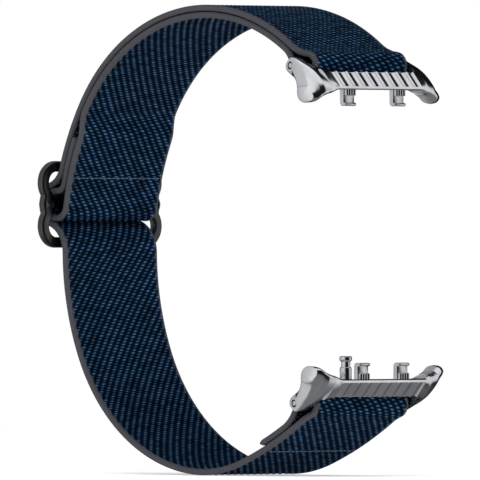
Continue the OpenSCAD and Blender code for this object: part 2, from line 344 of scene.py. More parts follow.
def cut(obj: bpy.types.Object, cutters: list[bpy.types.Mesh]) -> None:
    """Cuts the shapes of several meshes out of an object, for good.

    Args:
        obj: the object that is cut.
        cutters: closed meshes, in the same frame.
    """
    tools = []
    for mesh in cutters:
        tool = new_object("cutter", mesh)
        modifier = obj.modifiers.new("cut", "BOOLEAN")
        modifier.object = tool
        modifier.operation = "DIFFERENCE"
        modifier.solver = "EXACT"
        tools.append(tool)
    bpy.context.view_layer.update()
    result = obj.evaluated_get(bpy.context.evaluated_depsgraph_get())
    mesh = bpy.data.meshes.new_from_object(result)
    obj.modifiers.clear()
    obj.data = mesh
    for tool in tools:
        bpy.data.objects.remove(tool)


# ---------------------------------------------------------------- finishes

def linear(code: str) -> tuple[float, float, float, float]:
    """Returns an sRGB hex colour as linear red, green, blue and alpha, by the standard's own curve."""
    parts = [int(code[i:i + 2], 16) / 255 for i in (1, 3, 5)]
    return (*[c / 12.92 if c <= 0.04045 else ((c + 0.055) / 1.055) ** 2.4 for c in parts], 1.0)


def add_node(tree: bpy.types.NodeTree, kind: str, inputs: dict[str | int, object] | None = None,
             **settings: object) -> bpy.types.Node:
    """Adds a node to a tree.

    Args:
        tree: the node tree.
        kind: the node's type name.
        inputs: by socket name or number, a value, or a socket to link from.
        settings: the node's own properties.

    Returns:
        The new node.
    """
    node = tree.nodes.new(kind)
    for key, value in settings.items():
        setattr(node, key, value)
    for key, value in (inputs or {}).items():
        if isinstance(value, bpy.types.NodeSocket):
            tree.links.new(value, node.inputs[key])
        else:
            node.inputs[key].default_value = value
    return node


def set_ramp(node: bpy.types.Node, stops: list[tuple[float, str]]) -> None:
    """Sets a colour ramp's stops.

    Args:
        node: the colour ramp.
        stops: for each stop, its place from 0 to 1 and its sRGB hex colour.
    """
    elements = node.color_ramp.elements
    while len(elements) < len(stops):
        elements.new(0.5)
    for element, (place, code) in zip(elements, stops):
        element.position = place
        element.color = linear(code)


@dataclass(frozen=True)
class WovenPolyester:
    """Elastic webbing of dyed polyester yarn in a raised diagonal twill, with grey selvedges.

    Woven yarn is matt: the eye sees rows of pale beads on dark slanting ribs, and hardly any gloss.
    """

    trough: str = "#000e20"
    shade: str = "#01152b"
    flank: str = "#0c253d"
    crest: str = "#485a6c"
    edge_dark: str = "#2a2b2f"
    edge_light: str = "#505257"
    fibre_mm: float = 0.09       # drawn several times as coarse as a real filament, so that it shows
    fibre_depth_mm: float = 0.03
    fibre_relief: float = 0.35
    rib_power: float = 0.75      # below 1, the ribs are broad and the troughs narrow
    bead_low: float = 0.25       # height between the beads of a rib, as a share of theirs
    uneven: float = 0.5          # how much the beads vary in brightness
    roughness: float = 0.85
    specular: float = 0.02

    def wave(self, tree: bpy.types.NodeTree, turns: bpy.types.NodeSocket) -> bpy.types.NodeSocket:
        """Adds nodes for a wave that rises and falls once in each turn.

        Args:
            tree: the node tree.
            turns: the number of turns.

        Returns:
            A socket that is 1 at whole turns and 0 halfway between.
        """
        angle = add_node(tree, "ShaderNodeMath", {0: turns, 1: 2 * math.pi}, operation="MULTIPLY")
        swung = add_node(tree, "ShaderNodeMath", {0: angle.outputs[0]}, operation="COSINE")
        return add_node(tree, "ShaderNodeMapRange", {"Value": swung.outputs[0], "From Min": -1.0}).outputs[0]

    def make(self) -> bpy.types.Material:
        """Makes the material: dull, with light crests on dark troughs and a slight fuzz of fibres.

        Returns:
            The material.
        """
        material = bpy.data.materials.new("woven_polyester_webbing")
        material.use_nodes = True
        tree = material.node_tree
        shader = tree.nodes["Principled BSDF"]
        # The mesh carries, at each point, the ribs and weft rows passed and how far it is into the selvedge.
        twill = add_node(tree, "ShaderNodeAttribute", attribute_name="twill")
        parts = add_node(tree, "ShaderNodeSeparateXYZ", {"Vector": twill.outputs["Vector"]})
        rib = add_node(tree, "ShaderNodeMath", {0: parts.outputs["X"]}, operation="ROUND")
        # Floats on alternate ribs are staggered by half a row.
        row = add_node(tree, "ShaderNodeMath", {0: rib.outputs[0], 1: 0.5, 2: parts.outputs["Y"]},
                       operation="MULTIPLY_ADD")
        ridge = add_node(tree, "ShaderNodeMath", {0: self.wave(tree, parts.outputs["X"]), 1: self.rib_power},
                         operation="POWER")
        bead = add_node(tree, "ShaderNodeMapRange",
                        {"Value": self.wave(tree, row.outputs[0]), "To Min": self.bead_low})
        height = add_node(tree, "ShaderNodeMath", {0: ridge.outputs[0], 1: bead.outputs[0]},
                          operation="MULTIPLY")
        # Light catches the rounded top of each float of yarn, and none reaches the gaps between them.
        face = add_node(tree, "ShaderNodeValToRGB", {"Fac": height.outputs[0]})
        set_ramp(face, [(0.0, self.trough), (0.3, self.shade), (0.55, self.flank), (0.95, self.crest)])
        # Each float takes the dye a little differently, so beads vary in brightness.
        whole = add_node(tree, "ShaderNodeMath", {0: row.outputs[0]}, operation="ROUND")
        cell = add_node(tree, "ShaderNodeCombineXYZ", {"X": rib.outputs[0], "Y": whole.outputs[0]})
        chance = add_node(tree, "ShaderNodeTexWhiteNoise", {"Vector": cell.outputs[0]}, noise_dimensions="2D")
        varied = add_node(tree, "ShaderNodeMapRange",
                          {"Value": chance.outputs["Value"], "To Min": 1 - self.uneven,
                           "To Max": 1 + self.uneven})
        dyed = add_node(tree, "ShaderNodeHueSaturation",
                        {"Value": varied.outputs["Result"], "Color": face.outputs["Color"]})
        # On the selvedge, and where the ribs fade into it, the grey is painted darker where the yarn sinks and
        # lighter where it stands out: painted shade and painted highlight.
        rim = add_node(tree, "ShaderNodeValToRGB", {"Fac": self.wave(tree, parts.outputs["X"])})
        set_ramp(rim, [(0.0, self.edge_dark), (0.6, self.edge_light)])
        mixed = add_node(tree, "ShaderNodeMixRGB", {"Fac": parts.outputs["Z"],
                         "Color1": dyed.outputs["Color"], "Color2": rim.outputs["Color"]})
        place = add_node(tree, "ShaderNodeAttribute", attribute_name="ribbon")
        fibres = add_node(tree, "ShaderNodeTexNoise", {"Vector": place.outputs["Vector"],
                          "Scale": 1 / self.fibre_mm, "Detail": 2.0, "Roughness": 0.6})
        fuzz = add_node(tree, "ShaderNodeBump", {"Height": fibres.outputs["Fac"],
                        "Strength": self.fibre_relief, "Distance": self.fibre_depth_mm * MM})
        tree.links.new(mixed.outputs["Color"], shader.inputs["Base Color"])
        tree.links.new(fuzz.outputs["Normal"], shader.inputs["Normal"])
        shader.inputs["Roughness"].default_value = self.roughness
        shader.inputs["Specular IOR Level"].default_value = self.specular
        return material


@dataclass(frozen=True)
class SpunPolyester:
    """Twisted polyester sewing thread, which looks pale and slightly silky, with slanting plies."""

    dark: str = "#22344a"
    light: str = "#4d637b"
    twist_mm: float = 0.25       # length of the thread from one ply to the next
    twist_wander: float = 0.5
    ply_depth_mm: float = 0.04
    ply_relief: float = 0.4
    roughness: float = 0.6

    def make(self) -> bpy.types.Material:
        """Makes the material: pale blue-grey, with the thread's twist across it.

        Returns:
            The material.
        """
        material = bpy.data.materials.new("spun_polyester_thread")
        material.use_nodes = True
        tree = material.node_tree
        shader = tree.nodes["Principled BSDF"]
        place = add_node(tree, "ShaderNodeTexCoord")
        twist = add_node(tree, "ShaderNodeTexWave", {"Vector": place.outputs["Object"],
                         "Scale": 1 / (self.twist_mm * MM) / (2 * math.pi),
                         "Distortion": self.twist_wander}, bands_direction="DIAGONAL")
        # The ramp is painted shade in the grooves between the plies and a painted highlight on each ply, on
        # the same wave as their bump.
        ramp = add_node(tree, "ShaderNodeValToRGB", {"Fac": twist.outputs["Fac"]})
        set_ramp(ramp, [(0.0, self.dark), (1.0, self.light)])
        ply = add_node(tree, "ShaderNodeBump", {"Height": twist.outputs["Fac"], "Strength": self.ply_relief,
                       "Distance": self.ply_depth_mm * MM})
        tree.links.new(ramp.outputs["Color"], shader.inputs["Base Color"])
        tree.links.new(ply.outputs["Normal"], shader.inputs["Normal"])
        shader.inputs["Roughness"].default_value = self.roughness
        return material


@dataclass(frozen=True)
class FinishedMetal:
    """A metal with a tone, a polish, and fine marks left by the way it was finished."""

    name: str
    tone: str
    worn_tone: str
    roughness: float
    spread: float            # how much the roughness varies over the surface
    mark_mm: float           # size of the marks, drawn as coarse as they need to be to show
    mark_depth_mm: float
    mark_relief: float = 0.25
    patch_mm: float = 2.5    # size of the soft patches left by polishing and handling

    def make(self) -> bpy.types.Material:
        """Makes the material: a metal whose gloss and tone vary softly with handling.

        Returns:
            The material.
        """
        material = bpy.data.materials.new(self.name)
        material.use_nodes = True
        tree = material.node_tree
        shader = tree.nodes["Principled BSDF"]
        place = add_node(tree, "ShaderNodeTexCoord")
        patches = add_node(tree, "ShaderNodeTexNoise", {"Vector": place.outputs["Object"],
                           "Scale": 1 / (self.patch_mm * MM), "Detail": 3.0})
        tone = add_node(tree, "ShaderNodeValToRGB", {"Fac": patches.outputs["Fac"]})
        set_ramp(tone, [(0.35, self.worn_tone), (0.65, self.tone)])
        gloss = add_node(tree, "ShaderNodeMapRange", {"Value": patches.outputs["Fac"],
                         "To Min": self.roughness - self.spread, "To Max": self.roughness + self.spread})
        marks = add_node(tree, "ShaderNodeTexNoise", {"Vector": place.outputs["Object"],
                         "Scale": 1 / (self.mark_mm * MM), "Detail": 2.0})
        relief = add_node(tree, "ShaderNodeBump", {"Height": marks.outputs["Fac"],
                          "Strength": self.mark_relief, "Distance": self.mark_depth_mm * MM})
        tree.links.new(tone.outputs["Color"], shader.inputs["Base Color"])
        tree.links.new(gloss.outputs["Result"], shader.inputs["Roughness"])
        tree.links.new(relief.outputs["Normal"], shader.inputs["Normal"])
        shader.inputs["Metallic"].default_value = 1.0
        return material


# A tumbled, chrome plated zinc casting mirrors the studio, softly broken by its rounded edges.
CHROMED_ZINC = FinishedMetal("chromed_zinc_casting", tone="#dedfe2", worn_tone="#d2d3d7", roughness=0.12,
                             spread=0.03, mark_mm=0.4, mark_depth_mm=0.003)
# Turned and polished stainless steel is a little darker, with finer marks.
POLISHED_STAINLESS = FinishedMetal("polished_stainless_steel", tone="#cfd0d3", worn_tone="#bfc0c4",
                                   roughness=0.13, spread=0.03, mark_mm=0.2, mark_depth_mm=0.002)
# Bead-blasted steel under a grey vapour coating looks dark and satin.
SATIN_GUNMETAL = FinishedMetal("satin_gunmetal_steel", tone="#58585a", worn_tone="#4a4a4c", roughness=0.36,
                               spread=0.05, mark_mm=0.12, mark_depth_mm=0.005)
# Drawn spring wire is greyer and duller than the turned parts.
DRAWN_WIRE = FinishedMetal("drawn_spring_wire", tone="#8e8f92", worn_tone="#77787b", roughness=0.3,
                           spread=0.05, mark_mm=0.15, mark_depth_mm=0.004)


@dataclass
class Finishes:
    """One material for each slot, made once."""

    made: dict[Slot, bpy.types.Material] = field(default_factory=dict)

    def make_all(self) -> None:
        """Makes the material of every slot."""
        makers = {Slot.WEBBING: WovenPolyester(), Slot.THREAD: SpunPolyester(), Slot.GUNMETAL: SATIN_GUNMETAL,
                  Slot.CASTING: CHROMED_ZINC, Slot.STEEL: POLISHED_STAINLESS, Slot.SPRING: DRAWN_WIRE}
        self.made = {slot: maker.make() for slot, maker in makers.items()}

    def dress(self, obj: bpy.types.Object, slot: Slot) -> None:
        """Gives an object its slot's material.

        Args:
            obj: the object.
            slot: its material slot.
        """
        obj.data.materials.clear()
        obj.data.materials.append(self.made[slot])

    def dress_node(self, name: str, slot: Slot) -> None:
        """Gives a CAD node its slot's material."""
        self.dress(frame["nodes"][name], slot)


# ---------------------------------------------------------------- webbing

@dataclass(frozen=True)
class Stretch:
    """One stretch of the ribbon: the mid-line of its thickness, in the order that it was woven."""

    name: str
    points: np.ndarray
    start: float                 # how far along the ribbon it starts
    cut_start: bool = False
    cut_end: bool = False


@dataclass
class BandProfile:
    """The band's side outline, from the same driving sizes as the frame, in millimetres and degrees.

    The back is round about the loop's centre. Above it the crown has two arcs, and below it the base has
    three. Their starts and turns are measured from the back, upward for the crown and downward for the base.
    """

    strap_t: float = 1.05
    layer_gap: float = 0.08
    back_r: float = 43.1
    back_gap: float = 0.4        # how far the sewn end's wrap stands out from the back
    crown_r1: float = 31.5
    crown_r2: float = 34.3
    base_r1: float = 31.4
    base_r2: float = 25.6
    base_r3: float = 71.0
    bar_angle: float = 9.3
    crown_start: float = 30.2
    crown_turn: float = 27.5
    base_start: float = 23.0
    base_turn1: float = 62.0
    base_turn2: float = 25.0
    static_crown: float = 130.0  # bearings past which the webbing doesn't follow the slider
    static_base: float = 35.0
    wrap_r: float = 2.2          # the sewn end's turn round the centre bar
    wrap_top_r: float = 1.6
    pass_gap: float = 0.1        # room between the sewn end's turn and the strap that passes over it
    pass_top_r: float = 4.0
    pass_low_r: float = 5.0
    sewn_end: float = 24.2
    merge_start: float = 24.5    # past the sewn end, the inner leg rises to lie against the outer layer
    leg_gap: float = 0.2
    seam_at: float = 15.7
    fold_r: float = 1.75         # the folds round the spring bars
    upper_fold_in: tuple[float, float] = (-0.05, -0.05)     # centres of the folds' arcs, from the pins
    upper_fold_out: tuple[float, float] = (1.37, 0.1)
    lower_fold_in: tuple[float, float] = (-0.05, 0.05)
    lower_fold_out: tuple[float, float] = (0.77, -0.2)
    hollow_r: float = 8.0        # the hollows where the webbing leaves the folds
    leave_r: float = 4.5
    tail_leave_r: float = 6.0
    tail_end: float = 294.5
    tail_seam: float = 294.9

    def __post_init__(self) -> None:
        """Works out the centres, radii and turning points that the stretches share."""
        self.loop = joint_point("slider_travel")
        self.upper_pin = joint_point("upper_pivot")
        self.lower_pin = joint_point("lower_pivot")
        self.step = self.strap_t + self.layer_gap
        self.mid_back = self.back_r - self.strap_t / 2
        self.mid_c = self.mid_back + self.back_gap
        self.mid_b = self.mid_c + self.step
        self.mid_a = self.mid_c + 2 * self.step
        self.crown_end = 180 - self.crown_start - self.crown_turn
        self.base_end1 = 180 + self.base_start + self.base_turn1
        self.base_end2 = self.base_end1 + self.base_turn2
        outer_a = self.mid_a + self.strap_t / 2
        self.crown1 = self.loop + (outer_a - self.crown_r1) * bearing(180 - self.crown_start)
        self.crown2 = self.crown1 + (self.crown_r1 - self.crown_r2) * bearing(self.crown_end)
        self.base1 = self.loop + (self.back_r - self.base_r1) * bearing(180 + self.base_start)
        self.base2 = self.base1 + (self.base_r1 - self.base_r2) * bearing(self.base_end1)
        self.base3 = self.base2 + (self.base_r2 - self.base_r3) * bearing(self.base_end2)
        self.bar = self.loop + (self.mid_c + self.wrap_r) * bearing(180 - self.bar_angle)
        self.pass_r = self.wrap_r + self.strap_t + self.pass_gap
        self.pass_top = meet(self.loop, self.mid_a + self.pass_top_r,
                             self.bar, self.pass_r + self.pass_top_r, -1)
        self.pass_low = meet(self.loop, self.mid_back + self.pass_low_r,
                             self.bar, self.pass_r + self.pass_low_r, 1)

    def sewn_and_inner(self) -> list[np.ndarray]:
        """Draws the sewn end, its turn round the centre bar and the inner leg.

        Returns:
            Its curves, in order.
        """
        wrap_top = meet(self.loop, self.mid_b + self.wrap_top_r, self.bar, self.wrap_r + self.wrap_top_r, -1)
        angles = np.linspace(self.bar_angle, self.crown_start + self.leg_gap, 400)
        merged = smooth((angles - self.merge_start) / (self.crown_start - self.merge_start))
        radius = self.mid_c + self.step * merged
        rise = np.array([self.loop + r * bearing(180 - a) for r, a in zip(radius, angles)])
        inner = arc(self.crown1, self.crown_r1 - self.strap_t / 2 - self.step,
                    180 - self.crown_start - self.leg_gap, self.static_crown)
        return [swing(self.loop, self.mid_b, self.loop + bearing(180 - self.sewn_end), wrap_top, 1),
                swing(wrap_top, self.wrap_top_r, self.loop, self.bar, -1),
                swing(self.bar, self.wrap_r, wrap_top, self.loop, 1), rise, inner]

    def inner_crown(self) -> list[np.ndarray]:
        """Draws the inner layer of the crown, up to the middle of the upper fold.

        Returns:
            Its curves, in order.
        """
        fold = self.upper_pin + self.upper_fold_in
        r1, r2 = self.crown_r1 - self.strap_t / 2 - self.step, self.crown_r2 - self.strap_t / 2 - self.step
        leave = meet(self.crown2, r2 - self.leave_r, fold, self.fold_r + self.leave_r, 1)
        return [arc(self.crown1, r1, self.static_crown, self.crown_end),
                swing(self.crown2, r2, self.crown2 + bearing(self.crown_end), leave, -1),
                swing(leave, self.leave_r, leave + (leave - self.crown2), fold, -1),
                swing(fold, self.fold_r, leave, fold + [0, -1], 1)]

    def outer_crown(self) -> list[np.ndarray]:
        """Draws the rest of the upper fold and the outer layer of the crown.

        Returns:
            Its curves, in order.
        """
        fold = self.upper_pin + self.upper_fold_out
        r1, r2 = self.crown_r1 - self.strap_t / 2, self.crown_r2 - self.strap_t / 2
        hollow = meet(self.crown2, r2 + self.hollow_r, fold, self.fold_r + self.hollow_r, 1)
        return [swing(fold, self.fold_r, fold + [0, -1], hollow, 1),
                swing(hollow, self.hollow_r, fold, self.crown2, -1),
                swing(self.crown2, r2, hollow, self.crown2 + bearing(self.crown_end), 1),
                arc(self.crown1, r1, self.crown_end, self.static_crown)]

    def outer_leg(self) -> list[np.ndarray]:
        """Draws the outer layer from the still crown down to the slider.

        Returns:
            Its curves, in order.
        """
        return [arc(self.crown1, self.crown_r1 - self.strap_t / 2, self.static_crown, 180 - self.crown_start),
                swing(self.loop, self.mid_a, self.loop + bearing(180 - self.crown_start), self.pass_top, 1)]

    def slider_pass(self) -> list[np.ndarray]:
        """Draws the turn over the sewn end, through the slider.

        Returns:
            Its curves, in order.
        """
        return [swing(self.pass_top, self.pass_top_r, self.loop, self.bar, -1),
                swing(self.bar, self.pass_r, self.pass_top, self.pass_low, 1),
                swing(self.pass_low, self.pass_low_r, self.bar, self.loop, -1)]

    def lower_leg(self) -> list[np.ndarray]:
        """Draws the single layer from the slider to the still base.

        Returns:
            Its curves, in order.
        """
        start = 180 + self.base_start
        return [swing(self.loop, self.mid_back, self.pass_low, self.loop + bearing(start), 1),
                arc(self.base1, self.base_r1 - self.strap_t / 2, start, 180 + self.static_base)]

    def base(self) -> list[np.ndarray]:
        """Draws the base up to the middle of the lower fold.

        Returns:
            Its curves, in order.
        """
        fold = self.lower_pin + self.lower_fold_out
        r3 = self.base_r3 - self.strap_t / 2
        hollow = meet(self.base3, r3 + self.hollow_r, fold, self.fold_r + self.hollow_r, -1)
        return [arc(self.base1, self.base_r1 - self.strap_t / 2, 180 + self.static_base, self.base_end1),
                arc(self.base2, self.base_r2 - self.strap_t / 2, self.base_end1, self.base_end2),
                swing(self.base3, r3, self.base3 + bearing(self.base_end2), hollow, 1),
                swing(hollow, self.hollow_r, self.base3, fold, -1),
                swing(fold, self.fold_r, hollow, fold + [0, 1], 1)]

    def tail(self) -> list[np.ndarray]:
        """Draws the rest of the lower fold and the tail that is sewn to the base.

        Returns:
            Its curves, in order.
        """
        fold = self.lower_pin + self.lower_fold_in
        r = self.base_r3 - self.strap_t / 2 - self.step
        leave = meet(self.base3, r - self.tail_leave_r, fold, self.fold_r + self.tail_leave_r, -1)
        return [swing(fold, self.fold_r, fold + [0, 1], leave, 1),
                swing(leave, self.tail_leave_r, fold, leave + (leave - self.base3), -1),
                arc(self.base3, r, turn_of(self.base3, leave) + 360, self.tail_end)]


@dataclass
class Webbing:
    """The one ribbon of elastic webbing, in pieces: most ride on one body each, and the rest stay fixed in
    place.
    """

    profile: BandProfile
    width: float = 21.0
    edge: float = 0.5            # how far the rounded selvedge reaches in from the side
    edge_steps: int = 5
    columns: int = 84            # steps across one face
    row: float = 0.5             # spacing of the weft yarns along the ribbon
    row_steps: int = 3
    rib: float = 1.45            # spacing of the diagonal ribs across the ribbon
    rise: float = 0.6            # ribs passed for each millimetre along the ribbon
    outer_rise: float = 0.7      # the same, past the upper fold, where the outer side is stretched less
    relief: float = 0.13         # depth of the troughs between the ribs
    hatch: float = 0.34          # spacing of the wrapped yarns on the selvedge
    rib_power: float = 0.75      # below 1, the ribs are broad and the troughs narrow
    bead_low: float = 0.4        # height between the beads of a rib, as a share of theirs
    fade: float = 0.35           # width over which the twill gives way to the selvedge
    edge_height: float = 0.85    # height of the selvedge, as a share of a rib's
    wind_slant: float = 0.8      # how far the wrapped yarns slant round the selvedge, in spacings
    wind_relief: float = 0.03
    sealed: float = 1.6          # how far the melted cut end reaches, in widths of the fade
    cut_rings: tuple[float, float] = (0.02, 0.08)   # extra rings near a cut end, to round it
    reach: float = 0.12          # the heading is averaged over this length each way
    stretches: list[Stretch] = field(default_factory=list)

    def lay_out(self) -> None:
        """Strings the stretches along the ribbon, so that the weave runs on from one to the next."""
        p = self.profile
        makers = [("webbing_sewn_end", p.sewn_and_inner), ("webbing_inner_crown", p.inner_crown),
                  ("webbing_outer_crown", p.outer_crown), ("webbing_outer_leg", p.outer_leg),
                  ("webbing_pass", p.slider_pass), ("webbing_lower_leg", p.lower_leg),
                  ("webbing_base", p.base), ("webbing_tail", p.tail)]
        at = 0.0
        last = None
        for index, (name, maker) in enumerate(makers):
            points = np.vstack(maker())
            if last is not None:
                points = np.vstack([last, points])
            moved = np.linalg.norm(np.diff(points, axis=0), axis=1)
            points = points[np.r_[True, moved > 1e-4]]
            length = float(np.linalg.norm(np.diff(points, axis=0), axis=1).sum())
            self.stretches.append(Stretch(name, points, at, index == 0, index == len(makers) - 1))
            at += length
            last = points[-1]
        LOG.info("ribbon of webbing: %.1f mm long", at)

    def fold_at(self) -> float:
        """Returns how far along the ribbon the upper fold is."""
        return next(s.start for s in self.stretches if s.name == "webbing_outer_crown")

    def sample(self, stretch: Stretch) -> tuple[np.ndarray, np.ndarray, np.ndarray]:
        """Samples a stretch at a part of the weft yarns' spacing.

        Args:
            stretch: the stretch.

        Returns:
            Distances along the ribbon, mid-line points, and unit normals to the left of the way along.
        """
        along = stretch.start + np.r_[0, np.cumsum(np.linalg.norm(np.diff(stretch.points, axis=0), axis=1))]
        step = self.row / self.row_steps
        inside = np.arange(math.ceil(along[0] / step) + 1, math.floor(along[-1] / step)) * step
        s = np.r_[along[0], inside, along[-1]]
        if stretch.cut_start:
            s = np.unique(np.r_[s, along[0] + np.array(self.cut_rings)])
        if stretch.cut_end:
            s = np.unique(np.r_[s, along[-1] - np.array(self.cut_rings)])
        at = [np.interp(s, along, stretch.points[:, i]) for i in (0, 1)]
        ahead = [np.interp(s + self.reach, along, stretch.points[:, i]) for i in (0, 1)]
        behind = [np.interp(s - self.reach, along, stretch.points[:, i]) for i in (0, 1)]
        heading = np.column_stack([ahead[0] - behind[0], ahead[1] - behind[1]])
        heading /= np.linalg.norm(heading, axis=1)[:, None]
        return s, np.column_stack(at), np.column_stack([-heading[:, 1], heading[:, 0]])

    def weave(self, s: np.ndarray, y: np.ndarray, front: bool) -> tuple[np.ndarray, np.ndarray]:
        """Works out the diagonal twill on one face.

        Args:
            s: distance along the ribbon, as a column.
            y: place across the ribbon, as a row.
            front: whether this is the face seen from outside the loop on the outer layer.

        Returns:
            The height of the yarn, from 0 to 1, and the number of ribs passed.
        """
        phase = y / self.rib + self.rise * s
        if front:
            phase = phase + (self.outer_rise - self.rise) * np.maximum(0, s - self.fold_at())
        ridge = 0.5 + 0.5 * np.cos(2 * math.pi * phase)
        bead = 0.5 + 0.5 * np.cos(2 * math.pi * (s / self.row + 0.5 * np.round(phase)))
        return ridge ** self.rib_power * (self.bead_low + (1 - self.bead_low) * bead), phase

    def cut_distances(self, stretch: Stretch, s: np.ndarray) -> list[np.ndarray]:
        """Measures how far each ring is from the stretch's cut ends.

        Args:
            stretch: the stretch.
            s: the rings' distances along the ribbon.

        Returns:
            An array of distances for each cut end.
        """
        ends = ((stretch.cut_start, s - s[0]), (stretch.cut_end, s[-1] - s))
        return [distance for flagged, distance in ends if flagged]

    def add_layer(self, mesh: bpy.types.Mesh, name: str, values: np.ndarray) -> None:
        """Stores three numbers at each point of a mesh, for the material to read.

        Args:
            mesh: the mesh.
            name: the layer's name.
            values: an array of rings, points and numbers.
        """
        layer = mesh.attributes.new(name, "FLOAT_VECTOR", "POINT")
        layer.data.foreach_set("vector", values.astype(np.float32).ravel())

    def build(self, stretch: Stretch) -> bpy.types.Object:
        """Builds one stretch as a closed solid with the weave on both faces.

        Args:
            stretch: the stretch.

        Returns:
            The new object.
        """
        s, mid, normal = self.sample(stretch)
        column = s[:, None]
        half, side = self.profile.strap_t / 2, self.width / 2 - self.edge
        # Each ring runs across the front, round one selvedge, back across the back and round the other.
        y_face = np.linspace(-side, side, self.columns + 1)
        front, front_phase = self.weave(column, y_face[None, :], True)
        back, back_phase = self.weave(column, y_face[None, ::-1], False)
        flat = smooth((np.abs(y_face) - side + self.fade) / self.fade)[None, :]
        front = front * (1 - flat) + self.edge_height * flat
        back = back * (1 - flat[:, ::-1]) + self.edge_height * flat[:, ::-1]
        angles = np.radians(np.linspace(-90, 90, self.edge_steps + 2)[1:-1])
        wind = column / self.hatch + np.sin(angles)[None, :] * self.wind_slant
        wound = 0.5 + 0.5 * np.cos(2 * math.pi * wind)
        edge_y = side + self.edge * np.cos(angles)[None, :] - self.wind_relief * (1 - wound)
        edge_n = np.broadcast_to(half * np.sin(angles)[None, :], edge_y.shape)
        offset = np.hstack([-half + self.relief * (1 - front), edge_n,
                            half - self.relief * (1 - back), -edge_n])
        across = np.hstack([np.broadcast_to(y_face, front.shape), edge_y,
                            np.broadcast_to(y_face[::-1], back.shape), -edge_y])
        selvedge = np.hstack([np.broadcast_to(flat, front.shape), np.ones_like(edge_y),
                              np.broadcast_to(flat[:, ::-1], back.shape), np.ones_like(edge_y)])
        # A cut end is melted round, so the ribbon thins to nothing over its last half thickness.
        for distance in self.cut_distances(stretch, s):
            near = np.clip(distance / half, self.cut_rings[0], 1)
            offset = offset * np.sqrt(1 - (1 - near) ** 2)[:, None]
            selvedge = np.maximum(selvedge, smooth(self.sealed - distance / self.fade)[:, None])
        rings = np.stack([mid[:, 0, None] + offset * normal[:, 0, None], across,
                          mid[:, 1, None] + offset * normal[:, 1, None]], axis=-1)
        mesh = tube_grid(stretch.name, rings)
        phase = np.hstack([front_phase, wind, back_phase, wind])
        rows = np.broadcast_to(column / self.row, phase.shape)
        self.add_layer(mesh, "twill", np.stack([phase, rows, selvedge], axis=-1))
        travelled = np.broadcast_to(column, across.shape)
        self.add_layer(mesh, "ribbon", np.stack([travelled, across, offset], axis=-1))
        return new_object(stretch.name, mesh)

    def point(self, xz: np.ndarray) -> tuple[float, float, float]:
        """Returns a point of the XZ plane in metres."""
        return (float(xz[0]) * MM, 0.0, float(xz[1]) * MM)

    def make(self, finishes: Finishes) -> None:
        """Builds every stretch and dresses it; ties each stretch to its body, except the three that lie
        between two bodies, which stay fixed in place.

        Args:
            finishes: the materials.
        """
        self.lay_out()
        p = self.profile
        still = p.crown1 + (p.crown_r1 - p.strap_t) * bearing(p.static_crown)
        moving = p.loop + (p.mid_c + p.step) * bearing(180 - p.crown_start)
        low = p.loop + p.mid_back * bearing(turn_of(p.loop, p.slider_pass()[-1][-1]))
        low_still = p.base1 + (p.base_r1 - p.strap_t / 2) * bearing(180 + p.static_base)
        blends = {"webbing_sewn_end": (moving, still), "webbing_outer_leg": (moving, still),
                  "webbing_lower_leg": (low, low_still)}
        nodes = {"webbing_sewn_end": ("strap_end_loop", "inner_leg"), "webbing_inner_crown": ("strap_crown",),
                 "webbing_outer_crown": ("strap_crown",), "webbing_outer_leg": ("outer_leg",),
                 "webbing_pass": ("slider_pass",), "webbing_lower_leg": ("lower_leg",),
                 "webbing_base": ("strap_base",), "webbing_tail": ("strap_base",)}
        for stretch in self.stretches:
            piece = self.build(stretch)
            finishes.dress(piece, Slot.WEBBING)
            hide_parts(*nodes[stretch.name])
            if stretch.name in blends:
                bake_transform(piece)
            else:
                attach(piece, Body.SLIDER.value if stretch.name == "webbing_pass" else Body.STRAP.value)
            LOG.info("%s: %d faces", stretch.name, len(piece.data.polygons))


@dataclass
class Stitching:
    """A row of lockstitches across the ribbon, seen as short dashes on both faces."""

    name: str
    node: str
    body: Body
    middle: np.ndarray           # the middle of the layers that it holds
    angle: float                 # bearing of the outward direction there
    half_depth: float            # half the thickness of the layers
    margin: float = 1.2
    pitch: float = 1.75
    length: float = 1.7
    thread_r: float = 0.11
    sink: float = 0.03           # how far a stitch's middle sinks into the webbing
    dive: float = 0.3            # how far its ends dive in
    dive_power: int = 10         # the higher, the later they dive
    steps: int = 13

    def make(self, finishes: Finishes, width: float) -> None:
        """Builds the row, dresses it and lets it ride on its body.

        Args:
            finishes: the materials.
            width: the webbing's width.
        """
        out = np.array([bearing(self.angle)[0], 0, bearing(self.angle)[1]])
        centre = np.array([self.middle[0], 0, self.middle[1]])
        count = int((width - 2 * self.margin) / self.pitch)
        t = np.linspace(-1, 1, self.steps)
        lift = (self.half_depth - self.sink) - self.dive * np.abs(t) ** self.dive_power
        parts = []
        for side in (-1, 1):
            for i in range(count + 1):
                y = (i - count / 2) * self.pitch
                route = centre + np.outer(side * lift, out)
                route[:, 1] += y + t * self.length / 2
                parts.append(sweep_tube(self.name, route, self.thread_r))
        piece = new_object(self.name, join_meshes(self.name, parts))
        finishes.dress(piece, Slot.THREAD)
        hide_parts(self.node)
        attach(piece, self.body.value)
        LOG.info("%s: %d stitches a face", self.name, count + 1)


# ---------------------------------------------------------------- slider

